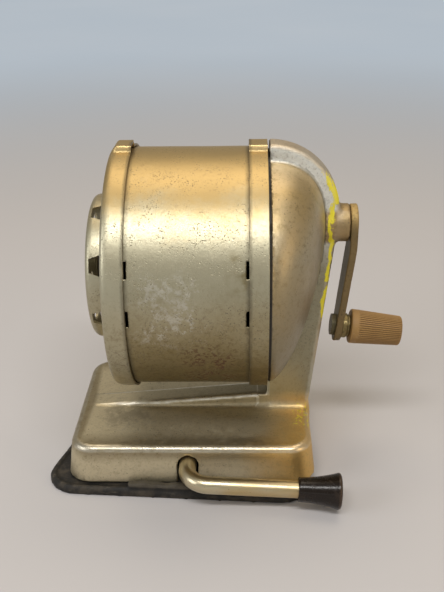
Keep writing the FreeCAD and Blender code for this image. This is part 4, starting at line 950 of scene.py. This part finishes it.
def make_knob():
    """Tapered knob: a plain collar, then 48 narrow flutes that run out at its far end.

    A flute's depth round the knob is a cosine wave, of which only the top is left, cut flat.
    """
    start, end, socket_end = 4.64, 24.64, 20.64
    collar_end, collar_r, tip_r, bore_r = start + 2.4, 6.72, 5.8, 2.55
    steps, rows, around, flute_depth = 5, 34, 576, 0.3
    corners = [(start, bore_r), (start, 6.75), (collar_end, collar_r), (end, tip_r), (end, 0)]
    corners += [(socket_end, 0), (socket_end, bore_r)]
    profile = softened(corners, [0.1, 0.7, 0.4, 0.8, 0, 0, 0], steps)
    along = np.linspace(start + 3.0, end - 0.9, rows)
    taper = (collar_r - tip_r) / (end - collar_end)
    fluted = np.stack([along, collar_r - (along - collar_end) * taper], -1)
    collar_points = 3 * (steps + 1)
    split = int(np.searchsorted(profile[:collar_points, 0], along[0]))
    profile = np.concatenate([profile[:split], fluted, profile[split:]])

    def flutes(x, r, angle):
        wave = np.clip((np.cos(48 * angle) - 0.35) / 0.5, 0, 1)
        reach = np.clip((x - start - 2.7) / 0.5, 0, 1) * np.clip((r - 4.8) / 0.6, 0, 1)
        return r - flute_depth * wave * reach

    grid = turned(profile, around, flutes)
    depth = np.linalg.norm(grid - turned(profile, around), axis=-1).ravel()
    points, quads = patches(tilted(grid, ARM_LEAN, KNOB_SPOT))
    marks = {"crease": np.clip(depth / flute_depth, 0, 1), "edge": np.clip(1 - depth / 0.2, 0, 1)}
    piece("crank_grip", points, quads, KNOB, "knob", ["crank_knob"], marks, 60)


def make_ferrule():
    """Stepped collar between the arm and the knob."""
    near, far, bore_r, wide_r, narrow_r = 1.34, 4.34, 2.5, 4.85, 4.45
    corners = [(near, bore_r), (near, wide_r), (far - 1.1, wide_r), (far - 0.9, narrow_r), (far, narrow_r)]
    corners += [(far, bore_r)]
    grid = turned(softened(corners, [0.1, 0.35, 0.25, 0.15, 0.3, 0.1], 4), 96)
    points, quads = patches(tilted(grid, ARM_LEAN, KNOB_SPOT))
    piece("knob_collar", points, quads, SHEET, "head", ["knob_ferrule"])


# Suction lever
def make_rod():
    """Round rod along a straight run, a quarter bend and a second run, with its end inside the grip."""
    start, end, bend, radius = -4.6, 51.4, 8.5, 3.25
    first = np.stack([np.zeros(30), np.linspace(start, bend - LEVER_REACH, 30)], -1)
    arc = math.pi + np.linspace(0, math.pi / 2, 26)[1:]
    curve = np.stack([bend + bend * np.cos(arc), bend - LEVER_REACH + bend * np.sin(arc)], -1)
    second = np.stack([np.linspace(bend, end, 41)[1:], np.full(40, -LEVER_REACH)], -1)
    path = np.concatenate([first, curve, second])
    heading = np.gradient(path, axis=0)
    heading /= np.linalg.norm(heading, axis=1, keepdims=True)
    side = np.stack([-heading[:, 1], heading[:, 0]], -1)
    angle = np.linspace(0, 2 * math.pi, 49)
    flat = path[:, None] + radius * np.cos(angle)[None, :, None] * side[:, None]
    rise = np.broadcast_to(radius * np.sin(angle), flat.shape[:2])
    grid = np.concatenate([flat, rise[..., None]], -1)
    ends = [np.broadcast_to(np.append(path[k], 0.0), grid[:1].shape) for k in (0, -1)]
    grid = np.concatenate([ends[0], grid, ends[1]])
    points, quads = patches(tilted(grid, LEVER_SLOPE, (0, 0, LEVER_Z)))
    piece("lever_bar", points, quads, NICKEL, "lever", ["lever_rod"], crisp=50)


def make_grip():
    """Trumpet sleeve: its radius grows with the power 1.9 of the way along, then closes in a low crown."""
    start, end, depth, around = 41.5, 57.5, 10.0, 96
    mouth_r, flat_r, bore_r, lip = 4.5, 5.75, 3.26, 0.25
    along = np.linspace(0, 1, 28)[1:]
    flare = np.stack([start + 0.2 + (end - start - 1.4) * along, mouth_r + 2.25 * along ** 1.9], -1)
    corner = np.linspace(0, math.pi / 2, 9)[1:]
    rim = np.stack([end - 1.2 + 1.0 * np.sin(corner), flat_r + 1.0 * np.cos(corner)], -1)
    share = np.linspace(0, 1, 9)[1:]
    crown = np.stack([end - 0.2 + 0.2 * share, flat_r * (1 - share)], -1)
    mouth = [(start + lip, bore_r), (start, bore_r + 0.24), (start, 4.3), (start + 0.2, mouth_r)]
    socket = [(start + depth, 0.0), (start + depth, bore_r), (start + lip, bore_r)]
    profile = np.concatenate([mouth, flare, rim, crown, socket])
    edge = np.clip(1 - np.abs(profile[:, 0] - end + 0.8) / 0.9, 0, 1) * (profile[:, 1] > 4)
    marks = {"edge": np.repeat(edge, around + 1)}
    grid = turned(profile, around) + np.array([0, -LEVER_REACH, 0])
    points, quads = patches(tilted(grid, LEVER_SLOPE, (0, 0, LEVER_Z)))
    piece("lever_sleeve", points, quads, GRIP, "lever", ["lever_grip"], marks, 50)


make_casting()
make_pad()
make_front_cap()
make_rear_ring()
make_drum()
make_dial()
make_arm()
make_crank_peen()
make_knob()
make_ferrule()
make_rod()
make_grip()

# Solids that keep their own form get their finish
FINISHES = {
    STEEL: ["dial_rivet", "dial_spring", "dial_spacer", "gear_screws", "cutter_axle_a", "cutter_axle_b",
            "crank_shaft", "thrust_washer", "lever_cam", "pull_plate", "pull_link", "lever_bracket",
            "bracket_screws"],
    CUT: ["ring_gear", "cutter_a", "cutter_b", "pinion_a", "pinion_b"],
    CARRIER: ["cutter_carrier"],
    BRASS: ["shaft_bush"],
    ARM: ["knob_pin"],
}
for finish, names in FINISHES.items():
    for name in names:
        nodes[name].data.materials.clear()
        nodes[name].data.materials.append(finish)


# Stage
def make_floor():
    """Plain pale floor: a flat disc, a grid of rings and spokes, which fades into the surround far off."""
    f = Finish("pale_floor")
    cloud = f.noise(400, 2)
    colour = f.blend(cloud, rgb(0.535, 0.525, 0.54), rgb(0.565, 0.545, 0.55))
    matt = f.node("ShaderNodeBsdfDiffuse", {}, {"Color": colour})
    haze = f.blend(cloud, rgb(0.42, 0.48, 0.54), rgb(0.49, 0.53, 0.57))
    far = f.x * f.x + f.y * f.y
    far = far.math("SQRT", far)
    haze = f.blend(far.rise(1700, 7500), haze, SURROUND)
    away = far.rise(230, 1000)
    rays = ("Is Camera Ray", "Is Glossy Ray", "Is Transmission Ray")
    seen, mirrored, through = (f.node("ShaderNodeLightPath", {}, {}, ray) for ray in rays)
    shown = (seen + mirrored + through).rise(0, 1)
    pale = f.node("ShaderNodeEmission", {}, {"Color": haze})
    mixed = f.node("ShaderNodeMixShader", {}, {0: away * shown, 1: matt, 2: pale})
    f.node("ShaderNodeOutputMaterial", {}, {"Surface": mixed})
    ring = np.array([0, 0.2, 0.5, 1.2, 3.0, 8.0])[:, None] * PER_METRE
    angle = np.linspace(0, 2 * math.pi, 65)[None, :]
    grid = np.stack([ring * np.cos(angle), ring * np.sin(angle), 0 * ring * angle], -1)
    points, quads = patches(grid)
    floor = piece("floor", points, quads, f.material, None, outward=False)


def make_lamp(name, spot, aim, size, power, colour):
    """A rectangular lamp at a spot, turned towards its aim."""
    data = bpy.data.lights.new(name, "AREA")
    data.shape = "RECTANGLE"
    data.size, data.size_y = size
    data.energy = power
    data.color = colour
    lamp = bpy.data.objects.new(name, data)
    lamp.location = spot
    lamp.rotation_mode = "QUATERNION"
    lamp.rotation_quaternion = (Vector(aim) - Vector(spot)).to_track_quat("-Z", "Y")
    bpy.context.scene.collection.objects.link(lamp)


def make_world():
    """Soft even surround."""
    world = bpy.data.worlds.new("surround")
    bpy.context.scene.world = world
    world.use_nodes = True
    shade = world.node_tree.nodes["Background"]
    shade.inputs["Color"].default_value = SURROUND
    shade.inputs["Strength"].default_value = 1.0


def make_camera(place, pitch, yaw, roll, lens):
    """Camera at a place, looking along +Y turned by a yaw, down by a pitch, and rolled."""
    p, q, r = (math.radians(angle) for angle in (pitch, yaw, roll))
    ahead = Vector((math.sin(q) * math.cos(p), math.cos(q) * math.cos(p), -math.sin(p)))
    right = Vector((math.cos(q), -math.sin(q), 0))
    up = right.cross(ahead)
    side = math.cos(r) * right + math.sin(r) * up
    top = -math.sin(r) * right + math.cos(r) * up
    data = bpy.data.cameras.new("camera")
    data.lens = lens
    data.clip_start = 0.01
    camera = bpy.data.objects.new("camera", data)
    turn = Matrix((side, top, -ahead)).transposed().to_4x4()
    camera.matrix_world = Matrix.Translation(place) @ turn
    bpy.context.scene.collection.objects.link(camera)
    bpy.context.scene.camera = camera


make_floor()
make_world()
make_lamp("key", (0.02, -0.53, 0.92), (0, 0, 0.08), (0.8, 0.13), 5.6, (1.0, 0.985, 0.96))
make_lamp("overhead", (0.05, 0.30, 1.0), (0, 0, 0.08), (0.9, 0.5), 3.4, (1.0, 0.86, 0.66))
make_lamp("side", (-0.9, -0.45, 0.5), (0, 0, 0.06), (0.5, 0.5), 2.5, (0.95, 0.97, 1.0))
make_lamp("warm", (0.8, -0.5, 0.35), (0, 0, 0.04), (0.3, 0.3), 0.85, (1.0, 0.78, 0.5))
make_lamp("low", (-0.15, -1.0, 0.20), (0, 0, 0.05), (1.0, 0.06), 0.25, (0.96, 0.98, 1.0))
make_camera((0.0222, -0.2992, 0.2090), 25.52, -1.76, -0.88, 51.7)
bpy.context.scene.view_settings.view_transform = "Standard"
